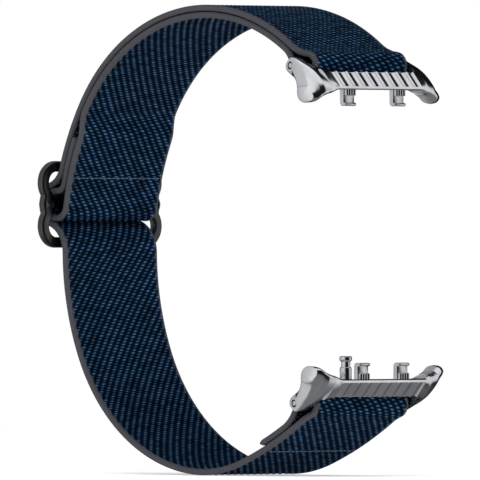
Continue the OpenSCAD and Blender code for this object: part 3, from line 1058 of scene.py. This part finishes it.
@dataclass
class Slider:
    """The two-ring slider plate, with a waist between the rings, and its round centre bar."""

    bar: np.ndarray
    length: float = 27.2
    ring_h: float = 7.0
    rail: float = 1.7
    thickness: float = 1.4
    lug_r: float = 1.85
    lug_in: float = 2.2
    window_in: float = 0.9       # how far the window's sides stand in from its round ends
    back: float = 0.3            # how far the plate's middle stands in from the bar's
    edge: float = 0.42           # rounding of the plate's edges
    overlap: float = 0.03        # how far each ring's round ends reach past the bar's middle
    notch_trim: tuple[int, int] = (4, 5)     # path steps left out on each side of a notch, as its fillet
    thin: tuple[int, int] = (4, 6)           # path steps between the outline's and the window's points
    bar_half: tuple[tuple[float, float], ...] = (       # (place across the band, radius) of the bar's half
        (0.0, 0.85), (8.0, 0.85), (9.8, 0.55), (11.2, 0.55), (11.22, 0.76), (11.5, 0.76), (11.56, 0.52),
        (12.35, 0.52), (12.41, 0.76), (12.7, 0.76), (12.76, 0.66), (12.76, AXIS_R))

    def outline(self) -> np.ndarray:
        """Draws the plate's outline: round ring ends, with a lug between them on each side.

        Returns:
            Its (y, z) points about the bar.
        """
        rise, r = self.ring_h / 2 - self.overlap, self.ring_h / 2
        ring = np.array([self.length / 2 - r, rise])
        lug = np.array([self.length / 2 - self.lug_in, 0.0])
        notch = meet(ring, r, lug, self.lug_r, 1)
        upper = swing(ring, r, notch, ring + [0, 1], 1)
        waist = swing(lug, self.lug_r, lug + [1, 0], notch, 1)
        # The notch between ring and lug has a small fillet.
        quarter = np.vstack([waist[:-self.notch_trim[0]], upper[self.notch_trim[1]:]])[::self.thin[0]]
        return self.four_fold(quarter)

    def window(self) -> np.ndarray:
        """Draws the window's outline, where the strap passes.

        Returns:
            Its (y, z) points about the bar.
        """
        rise, r = self.ring_h / 2 - self.overlap, self.ring_h / 2 - self.rail
        centre = np.array([self.length / 2 - self.rail - r, rise])
        side = centre[0] + r - self.window_in
        low = -math.degrees(math.acos((side - centre[0]) / r))
        return self.four_fold(np.vstack([[side, 0.0], arc(centre, r, low, 90)[::self.thin[1]]]))

    def four_fold(self, quarter: np.ndarray) -> np.ndarray:
        """Mirrors a quarter outline, from the right end up to the top, into the whole one."""
        left = quarter[::-1] * [-1, 1]
        return np.vstack([quarter, left, left[::-1] * [1, -1], quarter[::-1] * [1, -1]])

    def plate_mesh(self) -> bpy.types.Mesh:
        """Fills the outline around its window, and gives it thickness and rounded edges.

        Returns:
            The plate's mesh, in its place behind the bar.
        """
        curve = bpy.data.curves.new("slider_plate_outline", "CURVE")
        curve.dimensions = "2D"
        curve.fill_mode = "BOTH"
        curve.extrude = (self.thickness / 2 - self.edge) * MM
        curve.bevel_depth = self.edge * MM
        curve.bevel_resolution = 3
        curve.offset = -self.edge * MM
        for outline in (self.outline(), self.window()):
            keep = np.r_[True, np.linalg.norm(np.diff(outline, axis=0), axis=1) > 0.01]
            points = outline[keep]
            spline_ring = curve.splines.new("POLY")
            spline_ring.points.add(len(points) - 1)
            spline_ring.points.foreach_set("co", np.column_stack(
                [points * MM, np.zeros(len(points)), np.ones(len(points))]).ravel())
            spline_ring.use_cyclic_u = True
        shape = bpy.data.objects.new("slider_plate_outline", curve)
        bpy.context.scene.collection.objects.link(shape)
        bpy.context.view_layer.update()
        mesh = bpy.data.meshes.new_from_object(shape.evaluated_get(bpy.context.evaluated_depsgraph_get()))
        bpy.data.objects.remove(shape)
        # The curve's x and y become the band's y and z.
        mesh.transform(Matrix(((0, 0, 1, (self.bar[0] - self.back) * MM), (1, 0, 0, 0),
                               (0, 1, 0, self.bar[1] * MM), (0, 0, 0, 1))))
        return mesh

    def make(self, finishes: Finishes) -> None:
        """Builds the plate and the bar, and dresses them.

        Args:
            finishes: the materials.
        """
        mesh = self.plate_mesh()
        plate = new_object("slider_plate", mesh)
        weld = plate.modifiers.new("weld", "WELD")
        weld.merge_threshold = 0.004 * MM
        mesh.shade_smooth()
        mesh.set_sharp_from_angle(angle=math.radians(40))
        finishes.dress(plate, Slot.GUNMETAL)
        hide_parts("slider_frame")
        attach(plate, Body.SLIDER.value)
        self.make_bar(finishes)
        LOG.info("slider plate: %d faces", len(mesh.polygons))

    def make_bar(self, finishes: Finishes) -> None:
        """Builds the turned centre bar, whose ends have a neck between two small collars.

        Args:
            finishes: the materials.
        """
        near = [(-y, r) for y, r in reversed(self.bar_half)]
        rings = [place_across(self.bar + circle(r), y) for y, r in near + list(self.bar_half[1:])]
        bar = new_object("turned_centre_bar", tube_grid("turned_centre_bar", np.array(rings)))
        bar.data.set_sharp_from_angle(angle=math.radians(TURNED_EDGE))
        finishes.dress(bar, Slot.GUNMETAL)
        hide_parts("slider_centre_bar")
        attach(bar, Body.SLIDER.value)


# ---------------------------------------------------------------- connectors

# Sections of the connector across the band: (x outward, w towards the tracker) from its pin, twelve
# points each, in the same order: wrist side, rim, front, underside.
BAR_SECTION = [(4.36, 2.6), (4.3, 3.0), (4.3, 3.4), (4.3, 3.7), (4.42, 3.8), (6.0, 3.8),
               (7.55, 3.8), (7.74, 3.64), (7.8, 3.2), (5.8, 0.9), (5.0, 1.05), (4.5, 1.75)]
SHOULDER_SECTION = [(3.9, 1.8), (3.9, 2.4), (4.0, 3.0), (4.2, 3.6), (4.7, 4.2), (6.0, 4.5),
                    (7.2, 4.4), (7.78, 3.85), (7.2, 2.6), (5.7, 0.95), (4.7, 0.55), (4.1, 1.0)]
EAR_SECTION = [(-1.22, -0.3), (-1.0, 0.75), (0.1, 1.5), (1.9, 2.7), (3.7, 4.1), (5.6, 4.55),
               (7.2, 4.4), (7.78, 3.85), (7.0, 2.5), (4.9, 0.75), (2.2, -0.6), (0.1, -1.28)]
PLATE_SECTION = [(-1.22, -0.3), (-1.0, 0.75), (0.1, 1.55), (1.95, 2.85), (3.45, 4.5), (5.3, 5.1),
                 (6.95, 4.9), (7.68, 4.2), (7.0, 2.75), (4.9, 0.8), (2.2, -0.55), (0.1, -1.28)]
RISE_SECTION = [(0.5, 0.5), (0.75, 1.3), (1.4, 2.2), (2.4, 3.3), (3.6, 4.85), (5.2, 5.5),
                (6.8, 5.25), (7.55, 4.5), (6.95, 3.1), (5.1, 1.35), (2.9, 0.25), (1.4, -0.1)]
WING_SECTION = [(2.0, 1.8), (2.2, 2.7), (2.6, 3.6), (3.1, 4.6), (3.9, 5.6), (5.2, 5.85),
                (6.7, 5.6), (7.35, 4.9), (6.9, 3.9), (5.7, 2.7), (4.2, 1.6), (3.0, 1.5)]
TIP_SECTION = [(3.2, 3.5), (3.1, 4.2), (3.25, 4.95), (3.7, 5.6), (4.5, 5.92), (5.5, 5.92),
               (6.4, 5.7), (6.95, 5.1), (6.75, 4.45), (6.2, 3.85), (5.5, 3.3), (4.4, 3.2)]


@dataclass
class Connector:
    """A cast end connector: a ribbed bar between two arms, each with an ear at the pin and a horn."""

    name: str
    node: str
    pin: np.ndarray
    way: int                     # 1 where the tracker is above the pin, -1 where it is below
    body: Body
    ear_in: float = 10.9
    ear_out: float = 12.3
    rib_span: float = 18.1
    rib_count: int = 8
    rib_steps: int = 20
    rib_depth: float = 0.3
    rib_crest: float = 0.5       # where the crest is in each rib, from its near edge
    groove: float = 0.08         # depth of the fine groove on each rib's near side
    horn_out: float = 14.6
    rib_fall: float = 0.02       # width of each rib's steep side, as a share of the pitch
    groove_at: float = 0.6       # where the groove is, as a share of the way up to the crest
    rib_way: tuple[float, float] = (0.707, -0.707)      # the way that the ribbed face looks
    front: int = 8               # the section's point where the ribbed face starts, two spans long
    shoulder_steps: int = 8
    horn_places: tuple[float, ...] = (12.8, 13.4, 14.1)  # places across the band of the horn's sections
    horn_steps: int = 6
    nose: tuple[float, ...] = (20, 40, 58, 72, 84)      # bearings of the rings that close the horn's tip
    segment_steps: int = 5
    sharp: float = 24.0          # degrees between faces from which an edge stays sharp
    bore_r: float = 0.64
    bore_half: float = 16.0
    hole_span: tuple[float, float] = (2.3, 6.5)
    pins: tuple[tuple[float, float, float], ...] = ()    # (x, y, radius) of round holes in the rim

    def ring(self, section: np.ndarray, roundness: float) -> np.ndarray:
        """Draws a section's outline.

        Args:
            section: its points.
            roundness: 0 for straight sides, 1 for a smooth curve through the points, or between.

        Returns:
            The outline's (x, w) points.
        """
        before, after, beyond = (np.roll(section, n, axis=0) for n in (1, -1, -2))
        points = []
        for i in range(self.segment_steps):
            t = i / self.segment_steps
            straight = section * (1 - t) + after * t
            curve = spline(before, section, after, beyond, t)
            points.append(straight * (1 - roundness) + curve * roundness)
        return np.stack(points, axis=1).reshape(-1, 2)

    def rib_lift(self, y: float) -> float:
        """Works out how far the ribbed face stands out.

        Args:
            y: the place across the band.

        Returns:
            The distance in millimetres: 0 at a crest, less elsewhere.
        """
        u = (y / (self.rib_span / self.rib_count)) % 1.0
        if u > self.rib_crest + self.rib_fall:
            return -self.rib_depth
        fine = self.groove if abs(u - self.rib_crest * self.groove_at) < self.rib_fall else 0.0
        return self.rib_depth * (u / self.rib_crest - 1) - fine

    def bar_rings(self) -> list[np.ndarray]:
        """Draws the ribbed bar, from the near side to the far side.

        Returns:
            Its rings of points.
        """
        first = self.front * self.segment_steps
        face = slice(first, first + 2 * self.segment_steps)
        rings = []
        for y in np.linspace(-self.rib_span / 2, self.rib_span / 2, self.rib_count * self.rib_steps + 1):
            ring = self.ring(np.array(BAR_SECTION), 0.0)
            ring[face] += self.rib_lift(y) * np.array(self.rib_way)
            rings.append(place_across(ring, y))
        return rings

    def arm_rings(self) -> list[np.ndarray]:
        """Draws the far arm, from the bar out to the horn's tip.

        Returns:
            Its rings of points.
        """
        bar, shoulder = np.array(BAR_SECTION), np.array(SHOULDER_SECTION)
        rings = []
        for t in np.linspace(0, 1, self.shoulder_steps + 1)[1:]:
            ring = self.ring(bar + (shoulder - bar) * smooth(t), float(smooth(t)))
            rings.append(place_across(ring, self.rib_span / 2 + t * (self.ear_in - self.rib_span / 2)))
        places = [self.ear_in, self.ear_out, *self.horn_places]
        sections = [np.array(section) for section in
                    (EAR_SECTION, PLATE_SECTION, RISE_SECTION, WING_SECTION, TIP_SECTION)]
        last = len(sections) - 1
        for i in range(last):
            four = [sections[n] for n in (max(i - 1, 0), i, i + 1, min(i + 2, last))]
            for t in np.linspace(0, 1, self.horn_steps + 1)[(0 if i == 0 else 1):]:
                y = places[i] + t * (places[i + 1] - places[i])
                rings.append(place_across(self.ring(spline(*four, t), 1.0), y))
        # The horn's tip closes in a round nose.
        end, middle = rings[-1], rings[-1].mean(axis=0)
        for turn in np.radians(self.nose):
            ring = middle + (end - middle) * math.cos(turn)
            ring[:, 1] = middle[1] + (self.horn_out - middle[1]) * math.sin(turn)
            rings.append(ring)
        return rings

    def to_frame(self, points: np.ndarray) -> np.ndarray:
        """Returns points of the connector's own frame (x outward, w towards the tracker) in the band's."""
        return points * [1, 1, self.way] + [self.pin[0], 0, self.pin[1]]

    def make(self, finishes: Finishes) -> None:
        """Builds the casting, bores it, shades it smooth and dresses it.

        Args:
            finishes: the materials.
        """
        far = self.arm_rings()
        near = [ring * [1, -1, 1] for ring in reversed(far)]
        rings = self.to_frame(np.array(near + self.bar_rings() + far))
        piece = new_object(self.name, tube_grid(self.name, rings))
        bore = np.array([place_across(circle(self.bore_r), y) for y in (-self.bore_half, self.bore_half)])
        cutters = [tube_grid("bore", self.to_frame(bore))]
        for x, y, r in self.pins:
            hole = np.array([place_level(circle(r) + [x, y], w) for w in self.hole_span])
            cutters.append(tube_grid("hole", self.to_frame(hole)))
        cut(piece, cutters)
        piece.data.shade_smooth()
        piece.data.set_sharp_from_angle(angle=math.radians(self.sharp))
        finishes.dress(piece, Slot.CASTING)
        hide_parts(self.node)
        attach(piece, self.body.value)
        LOG.info("%s: %d faces", self.name, len(piece.data.polygons))


@dataclass
class Hook:
    """A hook pressed from steel strip, with a grooved root block that seats on the rim."""

    name: str
    connector: Connector
    y: float
    x: float = 5.3
    rim: float = 3.8
    width: float = 2.4
    tall: float = 2.6
    spine: float = 0.92
    toe: float = 0.5
    foot: float = 1.42
    bend: float = 0.55
    fillet: float = 0.12
    sunk: float = 0.5            # how far the strip goes down into the rim
    root: tuple[float, float] = (1.56, 0.95)     # the root block's depth and height
    root_back: float = 0.3
    root_inset: float = 0.15
    root_sunk: float = 0.4
    grooves: int = 4
    groove_depth: float = 0.14
    groove_steps: int = 48
    edge: float = 0.08           # width of the softened edges
    crown: float = 0.95          # size of the root block's top face, as a share of the block

    def strip_outline(self) -> np.ndarray:
        """Draws the outline of the hook's spine and toe.

        Returns:
            Its (x, w) points.
        """
        nose, fillet = self.toe / 2, self.fillet
        return np.vstack([
            [[0.0, -self.sunk]],
            arc(np.array([self.bend, self.tall - self.bend]), self.bend, 180, 90)[::3],
            arc(np.array([self.foot - nose, self.tall - nose]), nose, 90, -90)[::3],
            arc(np.array([self.spine + fillet, self.tall - self.toe - fillet]), fillet, 90, 180)[::2],
            [[self.spine, -self.sunk]]])

    def prism(self, outline: np.ndarray, half: float) -> bpy.types.Mesh:
        """Draws an outline out across the band.

        Args:
            outline: its (x, w) points.
            half: how far it goes on each side of the hook's middle.

        Returns:
            A closed mesh with softened edges.
        """
        middle = outline.mean(axis=0)
        rings = []
        side = half - self.edge
        for inset, y in ((self.edge, -half), (0.0, -side), (0.0, side), (self.edge, half)):
            shape = outline + (middle - outline) * (inset / np.maximum(
                np.linalg.norm(outline - middle, axis=1), 0.2))[:, None]
            rings.append(np.column_stack([self.x + shape[:, 0], np.full(len(shape), self.y + y),
                                          self.rim + shape[:, 1]]))
        return tube_grid(self.name, self.connector.to_frame(np.array(rings)))

    def root_block(self) -> bpy.types.Mesh:
        """Builds the root block, with upright grooves on its front.

        Returns:
            A closed mesh.
        """
        depth, tall = self.root
        half = self.width / 2 - self.root_inset
        ys = np.linspace(-half, half, self.groove_steps + 1)
        wave = 0.5 + 0.5 * np.cos(2 * math.pi * (ys + half) / (2 * half) * self.grooves)
        front = np.column_stack([depth - self.groove_depth * wave ** 2, ys])
        outline = np.vstack([front, [[self.root_back, half], [self.root_back, -half]]])
        top = self.rim + tall
        levels = ((1.0, self.rim - self.root_sunk), (1.0, top - self.edge), (self.crown, top))
        rings = [place_level([self.x, self.y] + outline * share, w) for share, w in levels]
        return tube_grid(self.name, self.connector.to_frame(np.array(rings)))

    def make(self, finishes: Finishes) -> None:
        """Builds the hook, dresses it and lets it ride with its connector.

        Args:
            finishes: the materials.
        """
        parts = [self.prism(self.strip_outline(), self.width / 2), self.root_block()]
        piece = new_object(self.name, join_meshes(self.name, parts))
        piece.data.set_sharp_from_angle(angle=math.radians(40))
        finishes.dress(piece, Slot.STEEL)
        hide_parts(self.name.replace("pressed_", ""))
        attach(piece, self.connector.body.value)
        LOG.info("%s: %d faces", self.name, len(piece.data.polygons))


# Where the latch pin stands in the lower connector's own frame, and the radius of its hole in the rim.
LATCH_PLACE = (5.6, -6.6)
LATCH_HOLE_R = 1.03
# Each hook's node, the body that it rides on, and its place across the band.
HOOKS = (("upper_hook_near", Body.UPPER_END, -5.6), ("upper_hook_far", Body.UPPER_END, 5.6),
         ("lower_hook_near", Body.LOWER_END, -3.3), ("lower_hook_far", Body.LOWER_END, 5.6))


@dataclass
class Latch:
    """The turned latch pin beside the lower connector's near hook."""

    connector: Connector
    x: float = LATCH_PLACE[0]
    y: float = LATCH_PLACE[1]
    body_r: float = 0.95
    neck_r: float = 0.74
    coil_r: float = 0.5
    wire_r: float = 0.09
    coil_low: float = 1.62
    coil_high: float = 2.3
    turns: int = 3
    turn_steps: int = 24
    low: float = 3.4             # below the rim's face, with room under it to draw back
    neck: tuple[float, float] = (5.78, 6.62)
    top: float = 7.5
    thumb_edge: float = 0.12     # rounding of the thumb slide's edges

    def make_spring(self, finishes: Finishes) -> None:
        """Builds the small coil spring under the pin.

        Args:
            finishes: the materials.
        """
        t = np.linspace(0, 2 * math.pi * self.turns, self.turn_steps * self.turns)
        height = np.linspace(self.coil_low, self.coil_high, len(t))
        route = np.column_stack([self.x + self.coil_r * np.cos(t), self.y + self.coil_r * np.sin(t), height])
        ring = circle(self.wire_r, 8)
        out = np.column_stack([np.cos(t), np.sin(t), np.zeros(len(t))])
        rings = route[:, None] + ring[None, :, :1] * out[:, None] + ring[None, :, 1:] * np.array([0, 0, 1.0])
        mesh = tube_grid("coiled_latch_spring", self.connector.to_frame(rings))
        coil = new_object("coiled_latch_spring", mesh)
        finishes.dress(coil, Slot.SPRING)
        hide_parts("latch_spring")
        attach(coil, Body.LOWER_END.value)

    def make(self, finishes: Finishes) -> None:
        """Builds the pin, and dresses it and the thumb slide.

        Args:
            finishes: the materials.
        """
        b, n = self.body_r, self.neck_r
        low, (neck_low, neck_high), top = self.low, self.neck, self.top
        # A chamfered body, a neck that the tracker's latch grips, and a collared head.
        outline = [
            (AXIS_R, low), (b - 0.08, low), (b, low + 0.08), (b, neck_low - 0.18),
            (b - 0.07, neck_low - 0.06), (n, neck_low), (n, neck_high), (n + 0.1, neck_high + 0.08),
            (b, neck_high + 0.14), (b + 0.05, neck_high + 0.24), (b + 0.05, top - 0.2), (b - 0.03, top - 0.07),
            (b - 0.2, top), (AXIS_R, top)]
        foot = np.array([self.x, self.y, 0.0])
        mesh = lathe("turned_latch_pin", outline, self.connector.to_frame(foot))
        piece = new_object("turned_latch_pin", mesh)
        piece.data.set_sharp_from_angle(angle=math.radians(TURNED_EDGE))
        finishes.dress(piece, Slot.STEEL)
        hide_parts("latch_pin")
        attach(piece, Body.LATCH.value)
        finishes.dress_node("release_slider", Slot.STEEL)
        bevel(frame["nodes"]["release_slider"], self.thumb_edge)
        self.make_spring(finishes)
        LOG.info("latch pin: %d faces", len(mesh.polygons))


# ---------------------------------------------------------------- studio

@dataclass(frozen=True)
class Lamp:
    """A soft square lamp: its place and side in metres, and its power in watts."""

    name: str
    place: tuple[float, float, float]
    size: float
    power: float


@dataclass
class Studio:
    """A pale floor, soft light all round and a long lens at the three-quarter angle."""

    aim: tuple[float, float, float] = (0.774, 0.774, 37.52)
    azimuth: float = 45.0
    field_mm: float = 76.8
    lens: float = 1200.0
    sensor: float = 36.0
    floor_size: float = 0.9
    floor_drop_mm: float = 0.05  # a hair below the band, so that the two don't share a face
    paper: str = "#ffffff"
    ground: str = "#7e7e80"
    glow: float = 0.45           # light of the floor's own, so that it stays as pale as the backdrop
    roof: tuple[float, float] = (0.82, 0.93)         # sines of the elevations where the walls meet the roof
    skirting: tuple[float, float] = (-0.45, -0.87)   # and the ground
    paper_grain_mm: float = 3.0
    clip: tuple[float, float] = (0.3, 3.0)           # nearest and farthest seen, in camera distances
    lamps: tuple[Lamp, ...] = (
        Lamp("key", (0.25, -0.35, 0.35), 0.22, 0.9),
        Lamp("fill", (-0.4, -0.3, 0.1), 0.3, 0.35),
        # Shines through the gap between the connectors, into the crease at the slider.
        Lamp("inner_fill", (0.6, -0.04, 0.042), 0.12, 1.2))
    # Bearings in degrees and tones of the walls round about, which the metal mirrors. Dark flags between the
    # white walls give the ribs and horns their black edges.
    walls: tuple[tuple[float, str], ...] = (
        (-180, "#c4c4c6"), (-135, "#dededf"), (-105, "#ffffff"), (-75, "#f3f3f4"), (-58, "#a4a4a6"),
        (-42, "#1c1c1e"), (16, "#1c1c1e"), (32, "#c4c4c6"), (45, "#f2f2f4"), (68, "#e6e6e8"), (80, "#141416"),
        (134, "#141416"), (148, "#a8a8aa"))

    def light_world(self) -> None:
        """Makes the surroundings: white to look at, and graded from dark to bright for metal to mirror."""
        world = bpy.data.worlds.new("studio")
        bpy.context.scene.world = world
        world.use_nodes = True
        tree = world.node_tree
        tree.nodes.clear()
        place = add_node(tree, "ShaderNodeTexCoord")
        parts = add_node(tree, "ShaderNodeSeparateXYZ", {"Vector": place.outputs["Generated"]})
        turn = add_node(tree, "ShaderNodeMath", {0: parts.outputs["Y"], 1: parts.outputs["X"]},
                        operation="ARCTAN2")
        part = add_node(tree, "ShaderNodeMapRange", {"Value": turn.outputs[0], "From Min": -math.pi,
                        "From Max": math.pi})
        walls = add_node(tree, "ShaderNodeValToRGB", {"Fac": part.outputs[0]})
        set_ramp(walls, [((angle + 180) / 360, tone) for angle, tone in self.walls])
        up = add_node(tree, "ShaderNodeMapRange", {"Value": parts.outputs["Z"], "From Min": self.roof[0],
                      "From Max": self.roof[1]}, interpolation_type="SMOOTHSTEP")
        down = add_node(tree, "ShaderNodeMapRange", {"Value": parts.outputs["Z"],
                        "From Min": self.skirting[0], "From Max": self.skirting[1]},
                        interpolation_type="SMOOTHSTEP")
        roofed = add_node(tree, "ShaderNodeMixRGB", {"Fac": up.outputs[0], "Color1": walls.outputs["Color"],
                          "Color2": linear(self.paper)})
        around = add_node(tree, "ShaderNodeMixRGB", {"Fac": down.outputs[0],
                          "Color1": roofed.outputs["Color"], "Color2": linear(self.ground)})
        seen = add_node(tree, "ShaderNodeBackground", {"Color": linear(self.paper), "Strength": 1.0})
        lit = add_node(tree, "ShaderNodeBackground", {"Color": around.outputs["Color"], "Strength": 1.0})
        ray = add_node(tree, "ShaderNodeLightPath")
        mixed = add_node(tree, "ShaderNodeMixShader", {0: ray.outputs["Is Camera Ray"],
                         1: lit.outputs["Background"], 2: seen.outputs["Background"]})
        add_node(tree, "ShaderNodeOutputWorld", {"Surface": mixed.outputs["Shader"]})

    def hang_lamp(self, lamp: Lamp) -> None:
        """Hangs a lamp facing the band, where the metal doesn't mirror it.

        Args:
            lamp: the lamp.
        """
        data = bpy.data.lights.new(lamp.name, "AREA")
        data.size = lamp.size
        data.energy = lamp.power
        hung = bpy.data.objects.new(lamp.name, data)
        bpy.context.scene.collection.objects.link(hung)
        hung.location = lamp.place
        hung.visible_glossy = False
        towards = Vector(self.aim) * MM - Vector(lamp.place)
        hung.rotation_euler = towards.to_track_quat("-Z", "Y").to_euler()

    def lay_floor(self) -> None:
        """Lays the pale floor under the band, hidden from mirror reflections."""
        half = self.floor_size / 2
        mesh = bpy.data.meshes.new("floor")
        corners = [(-half, -half, 0), (half, -half, 0), (half, half, 0), (-half, half, 0)]
        mesh.from_pydata(corners, [], [(0, 1, 2, 3)])
        floor = new_object("floor", mesh)
        floor.location.z = -self.floor_drop_mm * MM
        floor.visible_glossy = False
        material = bpy.data.materials.new("white_paper")
        material.use_nodes = True
        tree = material.node_tree
        shader = tree.nodes["Principled BSDF"]
        place = add_node(tree, "ShaderNodeTexCoord")
        pulp = add_node(tree, "ShaderNodeTexNoise", {"Vector": place.outputs["Object"],
                        "Scale": 1 / (self.paper_grain_mm * MM)})
        tint = add_node(tree, "ShaderNodeValToRGB", {"Fac": pulp.outputs["Fac"]})
        set_ramp(tint, [(0.0, "#fafafa"), (1.0, self.paper)])
        tree.links.new(tint.outputs["Color"], shader.inputs["Base Color"])
        shader.inputs["Roughness"].default_value = 0.9
        shader.inputs["Specular IOR Level"].default_value = 0.0
        shader.inputs["Emission Color"].default_value = linear(self.paper)
        shader.inputs["Emission Strength"].default_value = self.glow
        mesh.materials.append(material)

    def place_camera(self) -> None:
        """Puts the camera level with the band's middle, at a long lens's distance."""
        data = bpy.data.cameras.new("camera")
        data.lens = self.lens
        data.sensor_width = self.sensor
        distance = self.field_mm * self.lens / self.sensor * MM
        data.clip_start, data.clip_end = distance * self.clip[0], distance * self.clip[1]
        camera = bpy.data.objects.new("camera", data)
        bpy.context.scene.collection.objects.link(camera)
        turn = math.radians(self.azimuth)
        back = Vector((math.sin(turn), -math.cos(turn), 0.0))
        camera.location = Vector(self.aim) * MM + back * distance
        camera.rotation_euler = (-back).to_track_quat("-Z", "Y").to_euler()
        bpy.context.scene.camera = camera

    def make(self) -> None:
        """Sets up the whole studio."""
        bpy.context.scene.view_settings.view_transform = "Standard"
        self.light_world()
        for lamp in self.lamps:
            self.hang_lamp(lamp)
        self.lay_floor()
        self.place_camera()
        LOG.info("studio ready")


@dataclass
class SpringBar:
    """A connector's spring bar: a barrel, its spring, and a turned tip at each end."""

    connector: Connector
    end: str
    tip_r: float = 0.44
    tip_in: float = 9.7
    tip_out: float = 12.62
    # The tip's rounded nose: how far back from its end, and how far in from its side.
    nose: tuple[tuple[float, float], ...] = ((0.14, 0.0), (0.04, 0.05), (0.0, 0.15))

    def make(self, finishes: Finishes) -> None:
        """Builds the two tips, and dresses the barrel and spring.

        Args:
            finishes: the materials.
        """
        finishes.dress_node(f"{self.end}_bar_barrel", Slot.STEEL)
        finishes.dress_node(f"{self.end}_bar_spring", Slot.SPRING)
        outline = [(self.tip_in, AXIS_R), (self.tip_in, self.tip_r)]
        outline += [(self.tip_out - back, self.tip_r - inset) for back, inset in self.nose]
        outline += [(self.tip_out, AXIS_R)]
        for side, sign in (("near", -1), ("far", 1)):
            name = f"turned_{self.end}_tip_{side}"
            rings = np.array([place_across(circle(r), sign * y) for y, r in outline])
            tip = new_object(name, tube_grid(name, self.connector.to_frame(rings)))
            tip.data.set_sharp_from_angle(angle=math.radians(TURNED_EDGE))
            finishes.dress(tip, Slot.STEEL)
            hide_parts(f"{self.end}_bar_tip_{side}")
            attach(tip, Body(f"{self.end}_tip_{side}").value)
        LOG.info("%s spring bar dressed", self.end)


def main() -> None:
    """Builds the band's pieces in order, then the studio."""
    logging.basicConfig(level=logging.INFO, format="%(message)s")
    finishes = Finishes()
    finishes.make_all()
    profile = BandProfile()
    webbing = Webbing(profile)
    webbing.make(finishes)
    half_depth = profile.strap_t + profile.layer_gap / 2
    end_angle = 180 - profile.seam_at
    Stitching("thread_sewn_end", "end_stitching", Body.SLIDER,
              profile.loop + (profile.mid_c + profile.step / 2) * bearing(end_angle),
              end_angle, half_depth).make(finishes, webbing.width)
    tail_r = profile.base_r3 - profile.strap_t / 2 - profile.step / 2
    Stitching("thread_tail", "tail_stitching", Body.STRAP,
              profile.base3 + tail_r * bearing(profile.tail_seam),
              profile.tail_seam, half_depth).make(finishes, webbing.width)
    Slider(profile.bar).make(finishes)
    upper = Connector("cast_upper_connector", "upper_connector", profile.upper_pin, -1, Body.UPPER_END)
    lower = Connector("cast_lower_connector", "lower_connector", profile.lower_pin, 1, Body.LOWER_END,
                      pins=((LATCH_PLACE[0], LATCH_PLACE[1], LATCH_HOLE_R),))
    for connector in (upper, lower):
        connector.make(finishes)
    for name, connector, y in HOOKS:
        Hook(f"pressed_{name}", lower if connector is Body.LOWER_END else upper, y).make(finishes)
    Latch(lower).make(finishes)
    for connector, end in ((upper, "upper"), (lower, "lower")):
        SpringBar(connector, end).make(finishes)
    Studio().make()


if __name__ == "__main__":
    main()
